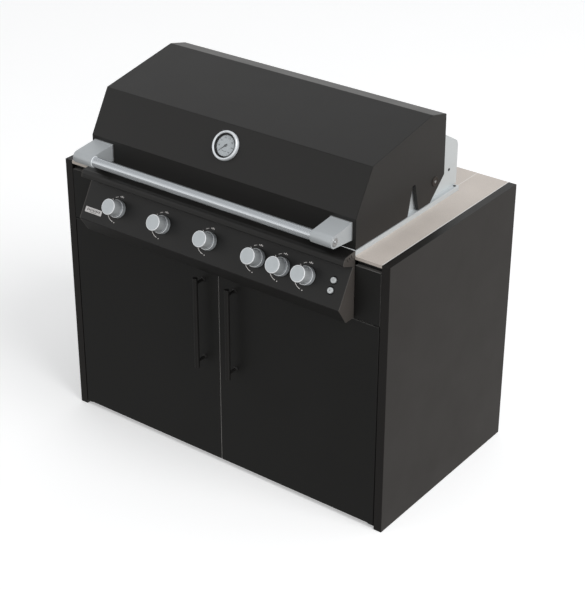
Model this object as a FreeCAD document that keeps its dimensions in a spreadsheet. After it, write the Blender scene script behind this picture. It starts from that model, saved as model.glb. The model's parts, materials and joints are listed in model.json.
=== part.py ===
import FreeCAD, Part
import Sketcher
import math
import os

# Built-in gas barbecue grill in a flat-panel outdoor cabinet.
# Millimetres, +Z up, front of the cabinet towards -Y, origin on the floor
# under the centre of the whole object's box.

V = FreeCAD.Vector
doc = FreeCAD.newDocument("gas_barbecue_grill")
sheet = doc.addObject("Spreadsheet::Sheet", "Dims")
problems = []


class Q:
    """A size: its number, and the expression that gives it from the sheet."""

    def __init__(self, value, text, bound=True):
        self.v, self.e, self.bound = float(value), text, bound

    @staticmethod
    def of(x):
        return x if isinstance(x, Q) else Q(x, repr(float(x)), False)

    def _two(self, other, sign, value):
        o = Q.of(other)
        return Q(value, "(%s %s %s)" % (self.e, sign, o.e), self.bound or o.bound)

    def __add__(self, o):
        return self._two(o, "+", self.v + Q.of(o).v)

    def __radd__(self, o):
        return Q.of(o) + self

    def __sub__(self, o):
        return self._two(o, "-", self.v - Q.of(o).v)

    def __rsub__(self, o):
        return Q.of(o) - self

    def __mul__(self, o):
        return self._two(o, "*", self.v * Q.of(o).v)

    def __rmul__(self, o):
        return Q.of(o) * self

    def __truediv__(self, o):
        return self._two(o, "/", self.v / Q.of(o).v)

    def __neg__(self):
        return Q.of(0) - self


def sin(a):
    a = Q.of(a)
    return Q(math.sin(math.radians(a.v)), "sin(%s)" % a.e, a.bound)


def cos(a):
    a = Q.of(a)
    return Q(math.cos(math.radians(a.v)), "cos(%s)" % a.e, a.bound)


# ---------------------------------------------------------------- dimensions
rows = [
    # cabinet
    ("cab_width", 1230), ("cab_depth", 690), ("cab_height", 900), ("y_mid", 295.5),
    ("side_thick", 28), ("back_thick", 18), ("base_low", 30), ("base_thick", 18),
    ("top_thick", 9.5), ("top_split", 476), ("top_rear", 528), ("support_depth", 18.5),
    ("fascia_low", 704), ("fascia_gap", 2), ("board_thick", 18),
    # doors
    ("door_low", 15), ("door_top", 699), ("door_side_gap", 2.5), ("door_seam", 3),
    ("pivot_inset", 4), ("pivot_setback", 5), ("pivot_pin", 2.5), ("pivot_bore", 2.55),
    ("pull_x", 61.5), ("pull_y", 37), ("pull_top", 667), ("pull_low", 352),
    ("pull_rad", 8), ("pull_post_rad", 4.5), ("pull_post_top", 647), ("pull_post_low", 374),
    # grill rim and firebox
    ("grill_half", 496), ("rim_front", 3), ("rim_back", 548), ("rim_rise", 15),
    ("fire_half", 471.5), ("fire_front", 32), ("fire_back", 521.5), ("fire_low", 745),
    ("sheet_thick", 1.5), ("grate_low", 893), ("grate_thick", 12),
    ("burner_rad", 16), ("burner_z", 800), ("knob_pitch", 180),
    # lid
    ("lid_half", 495), ("lid_sheet", 2), ("slot_flange", 9), ("lid_front", 4), ("lid_low", 918), ("lid_fold", 1012),
    ("slope_tilt", 30.3), ("slope_len", 153), ("lid_ridge_y", 384), ("lid_ridge_z", 1197),
    ("lid_rear_y", 456), ("lid_rear_z", 1179), ("lid_lip_z", 1147),
    ("hinge_y", 409), ("hinge_z", 979), ("hinge_pin", 5), ("hinge_bore", 5.05),
    ("bar_y", -80), ("bar_z", 972), ("bar_rad", 16), ("nose_rad", 19), ("post_in", 410), ("post_out", 483),
    # housing behind the lid
    ("house_half", 478), ("house_back", 560), ("house_edge_z", 1043),
    # control panel
    ("face_y", -7), ("face_z", 870), ("face_tilt", 30), ("face_len", 132), ("panel_bottom", 703),
    ("knob_u", 67), ("knob_rad", 24.8), ("knob_base", 5), ("knob_top", 53),
    ("bezel_rad", 28), ("bezel_bore", 26), ("bezel_high", 15),
    ("stem_rad", 4), ("stem_bore", 4.05), ("button_x", 449.5), ("button_rad", 9),
    # thermometer on the lid's front slope
    ("gauge_u", 88), ("gauge_rad", 45), ("gauge_bore", 37.5), ("dial_rad", 31.5),
    # gas inlet, 5/8 inch flare thread
    ("inlet_rad", 7.94), ("inlet_len", 15),
]
D = {}
for i, (alias, number) in enumerate(rows, start=1):
    sheet.set("A%d" % i, alias)
    sheet.set("B%d" % i, str(number))
    sheet.setAlias("B%d" % i, alias)
    D[alias] = Q(number, "Dims." + alias)
doc.recompute()
d = type("Dimensions", (), D)
count = [0]


# ------------------------------------------------------------------- helpers
def name(stem):
    count[0] += 1
    return "%s_%03d" % (stem, count[0])


def bind(obj, prop, q):
    q = Q.of(q)
    if q.bound:
        obj.setExpression(prop, q.e)


def place(obj, x, y, z, rot=None, angle=None):
    """Put obj at x, y, z, with y counted from the cabinet's front plane."""
    x, y, z = Q.of(x), Q.of(y) - d.y_mid, Q.of(z)
    obj.Placement = FreeCAD.Placement(V(x.v, y.v, z.v), rot or FreeCAD.Rotation())
    bind(obj, "Placement.Base.x", x)
    bind(obj, "Placement.Base.y", y)
    bind(obj, "Placement.Base.z", z)
    if angle is not None:
        bind(obj, "Placement.Rotation.Angle", angle)
    return obj


def box(stem, x0, x1, y0, y1, z0, z1):
    o = doc.addObject("Part::Box", name(stem))
    for prop, lo, hi in (("Length", x0, x1), ("Width", y0, y1), ("Height", z0, z1)):
        size = Q.of(hi) - Q.of(lo)
        setattr(o, prop, size.v)
        bind(o, prop, size)
    return place(o, x0, y0, z0)


ALONG_X = FreeCAD.Rotation(V(0, 1, 0), 90)
ALONG_Y = FreeCAD.Rotation(V(1, 0, 0), -90)


def cylinder(stem, radius, length, x, y, z, rot=None):
    o = doc.addObject("Part::Cylinder", name(stem))
    o.Radius, o.Height = Q.of(radius).v, Q.of(length).v
    bind(o, "Radius", radius)
    bind(o, "Height", length)
    return place(o, x, y, z, rot)


def cylinder_x(stem, radius, x0, x1, y, z):
    return cylinder(stem, radius, Q.of(x1) - Q.of(x0), x0, y, z, ALONG_X)


def cylinder_y(stem, radius, y0, y1, x, z):
    return cylinder(stem, radius, Q.of(y1) - Q.of(y0), x, y0, z, ALONG_Y)


def cut(stem, base, *tools):
    o = doc.addObject("Part::Cut", name(stem))
    o.Base = base
    if len(tools) > 1:
        t = doc.addObject("Part::MultiFuse", name(stem + "_tools"))
        t.Shapes = list(tools)
        o.Tool = t
    else:
        o.Tool = tools[0]
    return o


def fuse(stem, *parts):
    o = doc.addObject("Part::MultiFuse", name(stem))
    o.Shapes = list(parts)
    o.Refine = True
    return o


def group(stem, *parts):
    o = doc.addObject("Part::Compound", name(stem))
    o.Links = list(parts)
    return o


nodes = {}


def node(label, obj):
    obj.Label = label
    nodes[label] = obj
    return obj


def body(stem):
    return doc.addObject("PartDesign::Body", name(stem))


def sketch_on(b, role, stem):
    s = b.newObject("Sketcher::SketchObject", name(stem))
    plane = [f for f in b.Origin.OriginFeatures if f.Role == role][0]
    s.AttachmentSupport = [(plane, "")]
    s.MapMode = "FlatFace"
    return s


def pin_point(s, geo, pos, px, py):
    """Tie one sketch point to the axes by distances taken from the sheet."""
    for kind, axis, q in (("DistanceX", -2, px), ("DistanceY", -1, py)):
        q = Q.of(q)
        if abs(q.v) < 1e-9:
            s.addConstraint(Sketcher.Constraint("PointOnObject", geo, pos, axis))
            continue
        k = s.addConstraint(Sketcher.Constraint(kind, -1, 1, geo, pos, q.v))
        if q.bound:
            s.setExpression("Constraints[%d]" % k, q.e)


def polygon(s, pts):
    """Closed polygon; every corner is tied to the sheet."""
    n = len(pts)
    p = [(Q.of(a), Q.of(b)) for a, b in pts]
    first = s.GeometryCount
    for i in range(n):
        a, c = p[i], p[(i + 1) % n]
        s.addGeometry(Part.LineSegment(V(a[0].v, a[1].v, 0), V(c[0].v, c[1].v, 0)), False)
    for i in range(n):
        s.addConstraint(Sketcher.Constraint("Coincident", first + i, 2, first + (i + 1) % n, 1))
    for i in range(n):
        pin_point(s, first + i, 1, p[i][0], p[i][1])
    return first


def offset_points(p, t, side, closed):
    """Corners of the polyline moved sideways by t, for a start value only."""
    n = len(p)
    out = []

    def normal(a, b):
        dx, dy = b[0] - a[0], b[1] - a[1]
        ln = math.hypot(dx, dy)
        return (-dy / ln * side, dx / ln * side)

    for i in range(n):
        if not closed and i == 0:
            m = normal(p[0], p[1])
            out.append((p[0][0] + m[0] * t, p[0][1] + m[1] * t))
        elif not closed and i == n - 1:
            m = normal(p[-2], p[-1])
            out.append((p[-1][0] + m[0] * t, p[-1][1] + m[1] * t))
        else:
            a, b = normal(p[i - 1], p[i]), normal(p[i], p[(i + 1) % n])
            k = 1 + a[0] * b[0] + a[1] * b[1]
            out.append((p[i][0] + (a[0] + b[0]) / k * t, p[i][1] + (a[1] + b[1]) / k * t))
    return out


def folded(s, pts, t, side, closed=False):
    """Folded sheet in section: an outer polyline tied to the sheet, and an
    inner one held parallel to it at the sheet's thickness."""
    p = [(Q.of(a), Q.of(b)) for a, b in pts]
    t = Q.of(t)
    n = len(p)
    segs = n if closed else n - 1
    q = offset_points([(a.v, b.v) for a, b in p], t.v, side, closed)
    for i in range(segs):
        a, c = p[i], p[(i + 1) % n]
        s.addGeometry(Part.LineSegment(V(a[0].v, a[1].v, 0), V(c[0].v, c[1].v, 0)), False)
    for i in range(segs):
        a, c = q[i], q[(i + 1) % n]
        s.addGeometry(Part.LineSegment(V(a[0], a[1], 0), V(c[0], c[1], 0)), False)
    if not closed:
        s.addGeometry(Part.LineSegment(V(p[0][0].v, p[0][1].v, 0), V(q[0][0], q[0][1], 0)), False)
        s.addGeometry(Part.LineSegment(V(p[-1][0].v, p[-1][1].v, 0), V(q[-1][0], q[-1][1], 0)), False)
    joins = segs if closed else segs - 1
    for i in range(joins):
        j = (i + 1) % segs
        s.addConstraint(Sketcher.Constraint("Coincident", i, 2, j, 1))
        s.addConstraint(Sketcher.Constraint("Coincident", segs + i, 2, segs + j, 1))
    for i in range(n):
        if closed or i < n - 1:
            pin_point(s, i, 1, p[i][0], p[i][1])
        else:
            pin_point(s, i - 1, 2, p[i][0], p[i][1])
    if not closed:
        a, c = 2 * segs, 2 * segs + 1
        s.addConstraint(Sketcher.Constraint("Coincident", a, 1, 0, 1))
        s.addConstraint(Sketcher.Constraint("Coincident", a, 2, segs, 1))
        s.addConstraint(Sketcher.Constraint("Coincident", c, 1, segs - 1, 2))
        s.addConstraint(Sketcher.Constraint("Coincident", c, 2, 2 * segs - 1, 2))
        s.addConstraint(Sketcher.Constraint("Perpendicular", a, 0))
        s.addConstraint(Sketcher.Constraint("Perpendicular", c, segs - 1))
    for i in range(segs):
        s.addConstraint(Sketcher.Constraint("Parallel", segs + i, i))
        k = s.addConstraint(Sketcher.Constraint("Distance", segs + i, 1, i, t.v))
        if t.bound:
            s.setExpression("Constraints[%d]" % k, t.e)


def pad(b, s, length, stem="pad"):
    f = b.newObject("PartDesign::Pad", name(stem))
    f.Profile = s
    f.Length = Q.of(length).v
    bind(f, "Length", length)
    b.Tip = f
    return f


def round_edges(b, feature, radius, points):
    """Round the edges that run along the body's X at the given (y, z)."""
    doc.recompute()
    picked = []
    for i, e in enumerate(feature.Shape.Edges, start=1):
        a, c = e.Vertexes[0].Point, e.Vertexes[-1].Point
        if abs(a.x - c.x) < 1e-6:
            continue
        for (py, pz) in points:
            if math.hypot(a.y - py, a.z - pz) < 0.05 and math.hypot(c.y - py, c.z - pz) < 0.05:
                picked.append("Edge%d" % i)
    if not picked:
        problems.append("no edge to round on " + b.Name)
        return feature
    f = b.newObject("PartDesign::Fillet", name("round"))
    f.Base = (feature, picked)
    f.Radius = Q.of(radius).v
    bind(f, "Radius", radius)
    b.Tip = f
    return f


ORG = 10.0        # every side section is drawn this far inside its own corner


def section_body(stem, pts, x0, x1, thick=None, side=1, closed=False):
    """A piece with one section in the Y-Z plane, running from x0 to x1.
    Returns the body, its pad and the local origin of the section."""
    y0 = min(Q.of(a).v for a, _ in pts) - ORG
    z0 = min(Q.of(b).v for _, b in pts) - ORG
    y0, z0 = round(y0, 3), round(z0, 3)
    b = body(stem)
    s = sketch_on(b, "YZ_Plane", stem + "_section")
    local = [(Q.of(a) - y0, Q.of(c) - z0) for a, c in pts]
    if thick is None:
        polygon(s, local)
    else:
        folded(s, local, thick, side, closed)
    f = pad(b, s, Q.of(x1) - Q.of(x0))
    place(b, x0, y0, z0)
    return b, f, y0, z0


def turned_body(stem, pts):
    """A turned piece: (radius, height) corners turned about its own Z."""
    b = body(stem)
    s = sketch_on(b, "XZ_Plane", stem + "_section")
    polygon(s, pts)
    f = b.newObject("PartDesign::Revolution", name("turn"))
    f.Profile = s
    f.ReferenceAxis = (s, ["V_Axis"])
    f.Angle = 360.0
    b.Tip = f
    return b, f


# ------------------------------------------------------------------- cabinet
half = d.cab_width / 2
inner = half - d.side_thick
for side_name, x0, x1 in (("left", -half, -inner), ("right", inner, half)):
    node("side_panel_" + side_name,
         box("side", x0, x1, 0, d.cab_depth, 0, d.cab_height))

# back panel with two columns of ventilation slots
b = body("back_panel")
s = sketch_on(b, "XZ_Plane", "back_outline")
polygon(s, [(0, 0), (inner * 2, 0), (inner * 2, 842), (0, 842)])
f = pad(b, s, d.back_thick)
f.Reversed = True
doc.recompute()
s = sketch_on(b, "XZ_Plane", "back_slots")
for cx in (300, 874):
    polygon(s, [(cx - 130, 90), (cx + 130, 90), (cx + 130, 98), (cx - 130, 98)])
p = b.newObject("PartDesign::Pocket", name("slots"))
p.Profile = s
p.Type = 1
p.Reversed = True
p.SideType = 2
b.Tip = p
doc.recompute()
lp = b.newObject("PartDesign::LinearPattern", name("slot_rows"))
lp.Originals = [p]
lp.Direction = (s, ["V_Axis"])
lp.Length = 7 * 22
lp.Occurrences = 8
b.Tip = lp
doc.recompute()
lp2 = b.newObject("PartDesign::Pocket", name("top_slots"))
s2 = sketch_on(b, "XZ_Plane", "top_slot")
for k in range(8):
    for cx in (300, 874):
        z = 560 + 22 * k
        polygon(s2, [(cx - 130, z), (cx + 130, z), (cx + 130, z + 8), (cx - 130, z + 8)])
lp2.Profile = s2
lp2.Type = 1
lp2.SideType = 2
b.Tip = lp2
place(b, -inner, d.cab_depth - d.back_thick, d.base_low)
node("back_panel", b)

node("base_panel", box("base", -inner, inner, 20, d.cab_depth - d.back_thick,
                       d.base_low, d.base_low + d.base_thick))

feet = []
for x in (-540, 0, 540):
    for y in (70, 620):
        disc = cylinder("foot_pad", 22, 8, x, y, 0)
        stem = cylinder("foot_stem", 7, d.base_low - 8, x, y, 8)
        feet.append(fuse("foot", disc, stem))
node("levelling_feet", group("feet", *feet))

support_top = d.cab_height - d.top_thick
support_low = support_top - d.support_depth
rails = [
    box("front_rail", -inner, inner, 22, 60, 702, 716),
    box("rear_rail", -inner, inner, 600, 640, 702, 716),
    box("support_left", -inner, -498, 14, 672, support_low, support_top),
    box("support_right", 498, inner, 14, 672, support_low, support_top),
    box("support_rear", -498, 498, 575, 672, support_low, support_top),
]
for sx in (-1, 1):
    lo, hi = sorted((sx * 186, sx * 204))
    rails.append(box("runner", lo, hi, 22, 640, 676, 689))
    lo, hi = sorted((sx * 199, sx * 204))
    rails.append(box("strap", lo, hi, 22, 60, 689, 702))
    rails.append(box("strap", lo, hi, 600, 640, 689, 702))
node("frame_rails", group("rails", *rails))

node("fascia_panels", group(
    "fascia",
    box("fascia", -(inner - d.fascia_gap), -(d.grill_half + 2), 0, d.board_thick, d.fascia_low, support_low),
    box("fascia", d.grill_half + 2, inner - d.fascia_gap, 0, d.board_thick, d.fascia_low, support_low)))

slab = 0.4     # joint between slabs
# the front inner corner of each side slab is notched round the back of the control rail
node("worktop_left", cut("slab_left", box("slab", -inner, -d.top_split, 0, d.cab_depth, support_top, d.cab_height),
                         box("rail_notch", -(d.grill_half + 0.5), -(d.top_split - 1), -1, 2.4, support_top - 1,
                             d.cab_height + 1)))
node("worktop_right", cut("slab_right", box("slab", d.top_split, inner, 0, d.cab_depth, support_top, d.cab_height),
                          box("rail_notch", d.top_split - 1, d.grill_half + 0.5, -1, 2.4, support_top - 1,
                              d.cab_height + 1)))
node("worktop_rear", box("slab", -(d.top_split - slab), d.top_split - slab, d.top_rear, d.cab_depth,
                         support_top, d.cab_height))

# --------------------------------------------------------------------- doors
door_outer = inner - d.door_side_gap
pivot_x = door_outer - d.pivot_inset
pivots = []
for sx in (-1, 1):
    tag = "left" if sx < 0 else "right"
    # door leaf: the hinge-side edges are rounded so that they clear the side panel
    b = body("door_" + tag)
    s = sketch_on(b, "XY_Plane", "leaf_outline")
    w = door_outer - d.door_seam / 2
    polygon(s, [(0, 0), (w, 0), (w, d.board_thick), (0, d.board_thick)])
    f = pad(b, s, d.door_top - d.door_low)
    doc.recompute()
    hinge_edge = (w.v if sx > 0 else 0.0, 0.0)
    picks = []
    for i, e in enumerate(f.Shape.Edges, start=1):
        a, c = e.Vertexes[0].Point, e.Vertexes[-1].Point
        if abs(a.z - c.z) > 1 and math.hypot(a.x - hinge_edge[0], a.y - hinge_edge[1]) < 0.01:
            picks.append("Edge%d" % i)
    fl = b.newObject("PartDesign::Fillet", name("leaf_round"))
    fl.Base = (f, picks)
    fl.Radius = 2
    b.Tip = fl
    left_x = (d.door_seam / 2) if sx > 0 else -door_outer
    place(b, left_x, 0, d.door_low)
    leaf = cut("leaf", b,
               cylinder("bore_low", d.pivot_bore, 14, sx * pivot_x, d.pivot_setback, d.door_low - 1),
               cylinder("bore_top", d.pivot_bore, 14, sx * pivot_x, d.pivot_setback, d.door_top - 13))
    node("door_panel_" + tag, leaf)

    # bar handle on two posts
    x = sx * d.pull_x
    bar = cylinder("pull_bar", d.pull_rad, d.pull_top - d.pull_low, x, -d.pull_y, d.pull_low)
    post_a = cylinder_y("pull_post", d.pull_post_rad, -d.pull_y, 0, x, d.pull_post_top)
    post_b = cylinder_y("pull_post", d.pull_post_rad, -d.pull_y, 0, x, d.pull_post_low)
    node("door_handle_" + tag, fuse("pull", bar, post_a, post_b))

    # pivot brackets with their pins
    lo, hi = (sx * (inner - 22), sx * inner) if sx > 0 else (sx * inner, sx * (inner - 22))
    plate = box("pivot_plate", lo, hi, 0.5, 40, d.door_top + 1, d.door_top + 3)
    pin = cylinder("pivot_pin", d.pivot_pin, 12, sx * pivot_x, d.pivot_setback, d.door_top - 10)
    pivots.append(fuse("pivot_top", plate, pin))
    plate = box("pivot_plate", lo, hi, 0.5, 20, d.door_low - 3, d.door_low - 1)
    lug = box("pivot_lug", lo, hi, 20, 40, d.door_low - 3, d.base_low)
    pin = cylinder("pivot_pin", d.pivot_pin, 12, sx * pivot_x, d.pivot_setback, d.door_low - 2)
    pivots.append(fuse("pivot_low", plate, lug, pin))
node("door_pivots", group("pivots", *pivots))

# ---------------------------------------------------------- rim and firebox
rim_top = d.cab_height + d.rim_rise
b = body("grill_rim")
s = sketch_on(b, "XY_Plane", "rim_outline")
gw = d.grill_half * 2
gd = d.rim_back - d.rim_front
polygon(s, [(0, 0), (gw, 0), (gw, gd), (0, gd)])
ix0 = d.grill_half - d.fire_half
iy0 = d.fire_front - d.rim_front
iy1 = d.fire_back - d.rim_front
polygon(s, [(ix0, iy0), (gw - ix0, iy0), (gw - ix0, iy1), (ix0, iy1)])
f = pad(b, s, d.rim_rise)
doc.recompute()
# the rim is a folded channel, open underneath
s = sketch_on(b, "XY_Plane", "rim_channel")
t = d.sheet_thick
polygon(s, [(t, t), (gw - t, t), (gw - t, gd - t), (t, gd - t)])
polygon(s, [(ix0 - t, iy0 - t), (gw - ix0 + t, iy0 - t), (gw - ix0 + t, iy1 + t), (ix0 - t, iy1 + t)])
p = b.newObject("PartDesign::Pocket", name("rim_channel"))
p.Profile = s
p.Reversed = True
p.Length = 13.5
bind(p, "Length", d.rim_rise - d.sheet_thick)
b.Tip = p
place(b, -d.grill_half, d.rim_front, d.cab_height)
node("grill_rim", cut("rim", b,
                      cylinder("rim_hole", 3, 6, d.grill_half - 9, 537, rim_top - 4),
                      cylinder("rim_hole", 3, 6, -(d.grill_half - 9), 537, rim_top - 4)))

knob_xs = [-2 * d.knob_pitch, -d.knob_pitch, Q.of(0), d.knob_pitch, d.knob_pitch * 1.5, d.knob_pitch * 2]
burner_xs = [-2 * d.knob_pitch, -d.knob_pitch, Q.of(0), d.knob_pitch, 2 * d.knob_pitch]
fx = d.fire_half - t
front_wall = cut("front_wall",
                 box("wall", -fx, fx, d.fire_front, d.fire_front + t, d.fire_low, rim_top),
                 *[cylinder_y("burner_hole", 12, 25, 40, x, d.burner_z) for x in burner_xs])
ridge = 23.0
fire = [front_wall,
        box("wall", -fx, fx, d.fire_back - t, d.fire_back, d.fire_low, rim_top),
        box("wall", -d.fire_half, -fx, d.fire_front, d.fire_back, d.fire_low, rim_top),
        box("wall", fx, d.fire_half, d.fire_front, d.fire_back, d.fire_low, rim_top),
        box("ledge", -fx, fx, d.fire_front + t, d.fire_front + 18, d.grate_low - 3, d.grate_low),
        box("ledge", -fx, fx, d.fire_back - 18, d.fire_back - t, d.grate_low - 3, d.grate_low)]
for sx in (-1, 1):
    # each floor sheet slopes from its side wall down to the drain slot
    wdg = body("fire_floor")
    s = sketch_on(wdg, "XZ_Plane", "floor_section")
    run = fx - 22
    if sx > 0:
        pts = [(ORG, ORG), (ORG + run, ORG + ridge), (ORG + run, ORG + ridge + t), (ORG, ORG + t)]
        x_at = Q.of(22 - ORG)
    else:
        pts = [(ORG + run, ORG), (ORG + run, ORG + t), (ORG, ORG + ridge + t), (ORG, ORG + ridge)]
        x_at = -fx - ORG
    polygon(s, pts)
    f = pad(wdg, s, d.fire_back - d.fire_front - 2 * t)
    place(wdg, x_at, d.fire_back - t, d.fire_low - ridge - ORG)
    fire.append(wdg)
node("firebox", group("firebox", *fire))

# burners: a neck through the front wall, then the ported tube
burners = []
for x in burner_xs:
    burners.append(fuse("burner",
                        cylinder_y("burner_neck", 10, 26, 62, x, d.burner_z),
                        cylinder_y("burner_tube", d.burner_rad, 60, 480, x, d.burner_z)))
node("main_burners", group("burners", *burners))

tamers = []
for x in burner_xs:
    b = body("tamer")
    s = sketch_on(b, "YZ_Plane", "tamer_section")
    folded(s, [(10, 10), (60, 48), (110, 10)], d.sheet_thick, -1)
    f = pad(b, s, d.fire_back - d.fire_front - 2 * t)
    place(b, x + 60, d.fire_front + t, 816, FreeCAD.Rotation(V(0, 0, 1), 90))
    tamers.append(b)
node("flame_tamers", group("tamers", *tamers))

# cooking grates: a rim, two cross rails and round-nosed bars
grates = []
gw3 = (d.fire_half * 2 - 8) / 3
gl = d.fire_back - d.fire_front - 2 * t - 2
for k in range(3):
    b = body("grate")
    s = sketch_on(b, "XY_Plane", "grate_rim")
    polygon(s, [(0, 0), (gw3, 0), (gw3, gl), (0, gl)])
    polygon(s, [(8, 10), (gw3 - 8, 10), (gw3 - 8, gl - 10), (8, gl - 10)])
    f = pad(b, s, d.grate_thick)
    doc.recompute()
    s = sketch_on(b, "XY_Plane", "grate_bar")
    polygon(s, [(21, 5), (29, 5), (29, gl - 5), (21, gl - 5)])
    f = pad(b, s, d.grate_thick)
    doc.recompute()
    lp = b.newObject("PartDesign::LinearPattern", name("grate_bars"))
    lp.Originals = [f]
    lp.Direction = (s, ["H_Axis"])
    lp.Length = 260
    lp.Occurrences = 14
    b.Tip = lp
    doc.recompute()
    s = sketch_on(b, "XY_Plane", "grate_cross")
    for yy in (155, 320):
        polygon(s, [(4, yy), (gw3 - 4, yy), (gw3 - 4, yy + 8), (4, yy + 8)])
    f = pad(b, s, 7)
    place(b, -d.fire_half + 2 + k * (gw3 + 2), d.fire_front + t + 1, d.grate_low)
    grates.append(b)
node("cooking_grates", group("grates", *grates))

# warming rack between the housing side plates
plate_in = d.house_half - 2
b = body("warming_rack")
s = sketch_on(b, "XY_Plane", "rack_rim")
rw = plate_in * 2
polygon(s, [(0, 0), (rw, 0), (rw, 140), (0, 140)])
polygon(s, [(6, 6), (rw - 6, 6), (rw - 6, 134), (6, 134)])
pad(b, s, 6)
doc.recompute()
s = sketch_on(b, "XY_Plane", "rack_bar")
polygon(s, [(3, 24), (rw - 3, 24), (rw - 3, 29), (3, 29)])
f = pad(b, s, 6)
doc.recompute()
lp = b.newObject("PartDesign::LinearPattern", name("rack_bars"))
lp.Originals = [f]
lp.Direction = (s, ["V_Axis"])
lp.Length = 88
lp.Occurrences = 5
b.Tip = lp
place(b, -plate_in, 338, 1042)
node("warming_rack", b)

# rear infrared burner: a tray with a recessed ceramic face
node("rear_burner", cut("rear_burner",
                        box("burner_box", -330, 330, 527, d.house_back - t, 932, 1034),
                        box("burner_recess", -318, 318, 526, 532, 944, 1022)))

# ------------------------------------------------- housing behind the lid
house_pts = [(533, rim_top), (d.house_back, rim_top), (d.house_back, d.house_edge_z), (553, 1058),
             (499, 1090), (440, 1124)]
b, f, y0, z0 = section_body("rear_housing", house_pts, -plate_in, plate_in, d.sheet_thick, 1)
doc.recompute()
s = sketch_on(b, "XZ_Plane", "housing_slots")
for k in range(5):
    for cx in (rw / 2 - 300, rw / 2, rw / 2 + 300):
        z = 930.0 - z0 + 20 * k
        polygon(s, [(cx - 90, z), (cx + 90, z), (cx + 90, z + 7), (cx - 90, z + 7)])
p = b.newObject("PartDesign::Pocket", name("housing_slots"))
p.Profile = s
p.Type = 1
p.SideType = 2
b.Tip = p
node("rear_housing", b)

plate_pts = [(228, rim_top), (d.house_back, rim_top), (d.house_back, d.house_edge_z), (553, 1058),
             (499, 1090), (440, 1124), (400, 1124), (340, 1062), (262, 1024), (228, 1000)]
plates = []
for sx in (-1, 1):
    lo, hi = (plate_in, d.house_half) if sx > 0 else (-d.house_half, -plate_in)
    b, f, y0, z0 = section_body("house_plate", plate_pts, lo, hi)
    lo_x = (d.house_half - 6) if sx > 0 else -(d.house_half + 4)
    plates.append(cut("house_plate", b,
                      cylinder_x("pin_hole", d.hinge_pin, lo_x, lo_x + 10, d.hinge_y, d.hinge_z),
                      cylinder_x("plate_hole", 3, lo_x, lo_x + 10, 514, 975)))
node("housing_side_plates", group("plates", *plates))

pins = []
for sx in (-1, 1):
    def span(a, c):
        return (a, c) if sx > 0 else (-c, -a)
    lo, hi = span(plate_in, d.lid_half + 2.5)
    shank = cylinder_x("pin_shank", d.hinge_pin, lo, hi, d.hinge_y, d.hinge_z)
    lo, hi = span(plate_in - 6, plate_in)
    head = cylinder_x("pin_nut", 9, lo, hi, d.hinge_y, d.hinge_z)
    lo, hi = span(d.house_half, d.lid_half - d.lid_sheet - 0.4)
    bush = cylinder_x("pin_bush", 10, lo, hi, d.hinge_y, d.hinge_z)
    pins.append(fuse("pin", shank, head, bush))
node("lid_hinge_pins", group("pins", *pins))

# ------------------------------------------------------------- control panel
face_cos, face_sin = cos(d.face_tilt), sin(d.face_tilt)
nose_y = d.face_y - d.face_len * face_sin
nose_z = d.face_z - d.face_len * face_cos
FACE_ROT = FreeCAD.Rotation(V(1, 0, 0), 90 - d.face_tilt.v)


def on_face(obj, x, u, w):
    """Put obj on the slanting face: u down the face, w out of it."""
    u, w = Q.of(u), Q.of(w)
    return place(obj, x, d.face_y - u * face_sin - w * face_cos,
                 d.face_z - u * face_cos + w * face_sin, FACE_ROT, 90 - d.face_tilt)


def face_cylinder(stem, radius, x, u, w0, w1):
    o = doc.addObject("Part::Cylinder", name(stem))
    o.Radius, o.Height = Q.of(radius).v, (Q.of(w1) - Q.of(w0)).v
    bind(o, "Radius", radius)
    bind(o, "Height", Q.of(w1) - Q.of(w0))
    return on_face(o, x, u, w0)


def face_box(stem, x0, x1, u0, u1, w0, w1):
    o = doc.addObject("Part::Box", name(stem))
    for prop, size in (("Length", Q.of(x1) - Q.of(x0)), ("Width", Q.of(u1) - Q.of(u0)),
                       ("Height", Q.of(w1) - Q.of(w0))):
        setattr(o, prop, size.v)
        bind(o, prop, size)
    return on_face(o, x0, u1, w0)


cap_in = d.grill_half - 2
panel_pts = [(2, d.panel_bottom), (-38, d.panel_bottom), (nose_y, nose_z), (d.face_y, d.face_z), (2, d.face_z)]
b, f, y0, z0 = section_body("control_panel", panel_pts, -cap_in, cap_in, d.sheet_thick, -1)
f = round_edges(b, f, 4, [(nose_y.v - y0, nose_z.v - z0)])
button_us = (53.5, 83.7)
tools = [face_cylinder("stem_hole", 7, x, d.knob_u, -5, 5) for x in knob_xs]
tools += [face_cylinder("button_hole", d.button_rad + 1.2, d.button_x, u, -5, 5) for u in button_us]
node("control_panel", cut("panel", b, *tools))

rail_pts = [(2, d.face_z), (2, rim_top + 1), (-49, rim_top - 4), (-55, 889), (d.face_y, d.face_z)]
b, f, y0, z0 = section_body("control_rail", rail_pts, -cap_in, cap_in, 2.0, 1, True)
hollow_pts = offset_points([(Q.of(a).v - y0, Q.of(c).v - z0) for a, c in rail_pts], 2.0, 1, True)
f = round_edges(b, f, 13, [hollow_pts[2]])
f = round_edges(b, f, 15, [(-49 - y0, rim_top.v - 4 - z0)])
f = round_edges(b, f, 2, [hollow_pts[3]])
f = round_edges(b, f, 4, [(-55 - y0, 889 - z0)])
node("control_rail", b)

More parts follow.
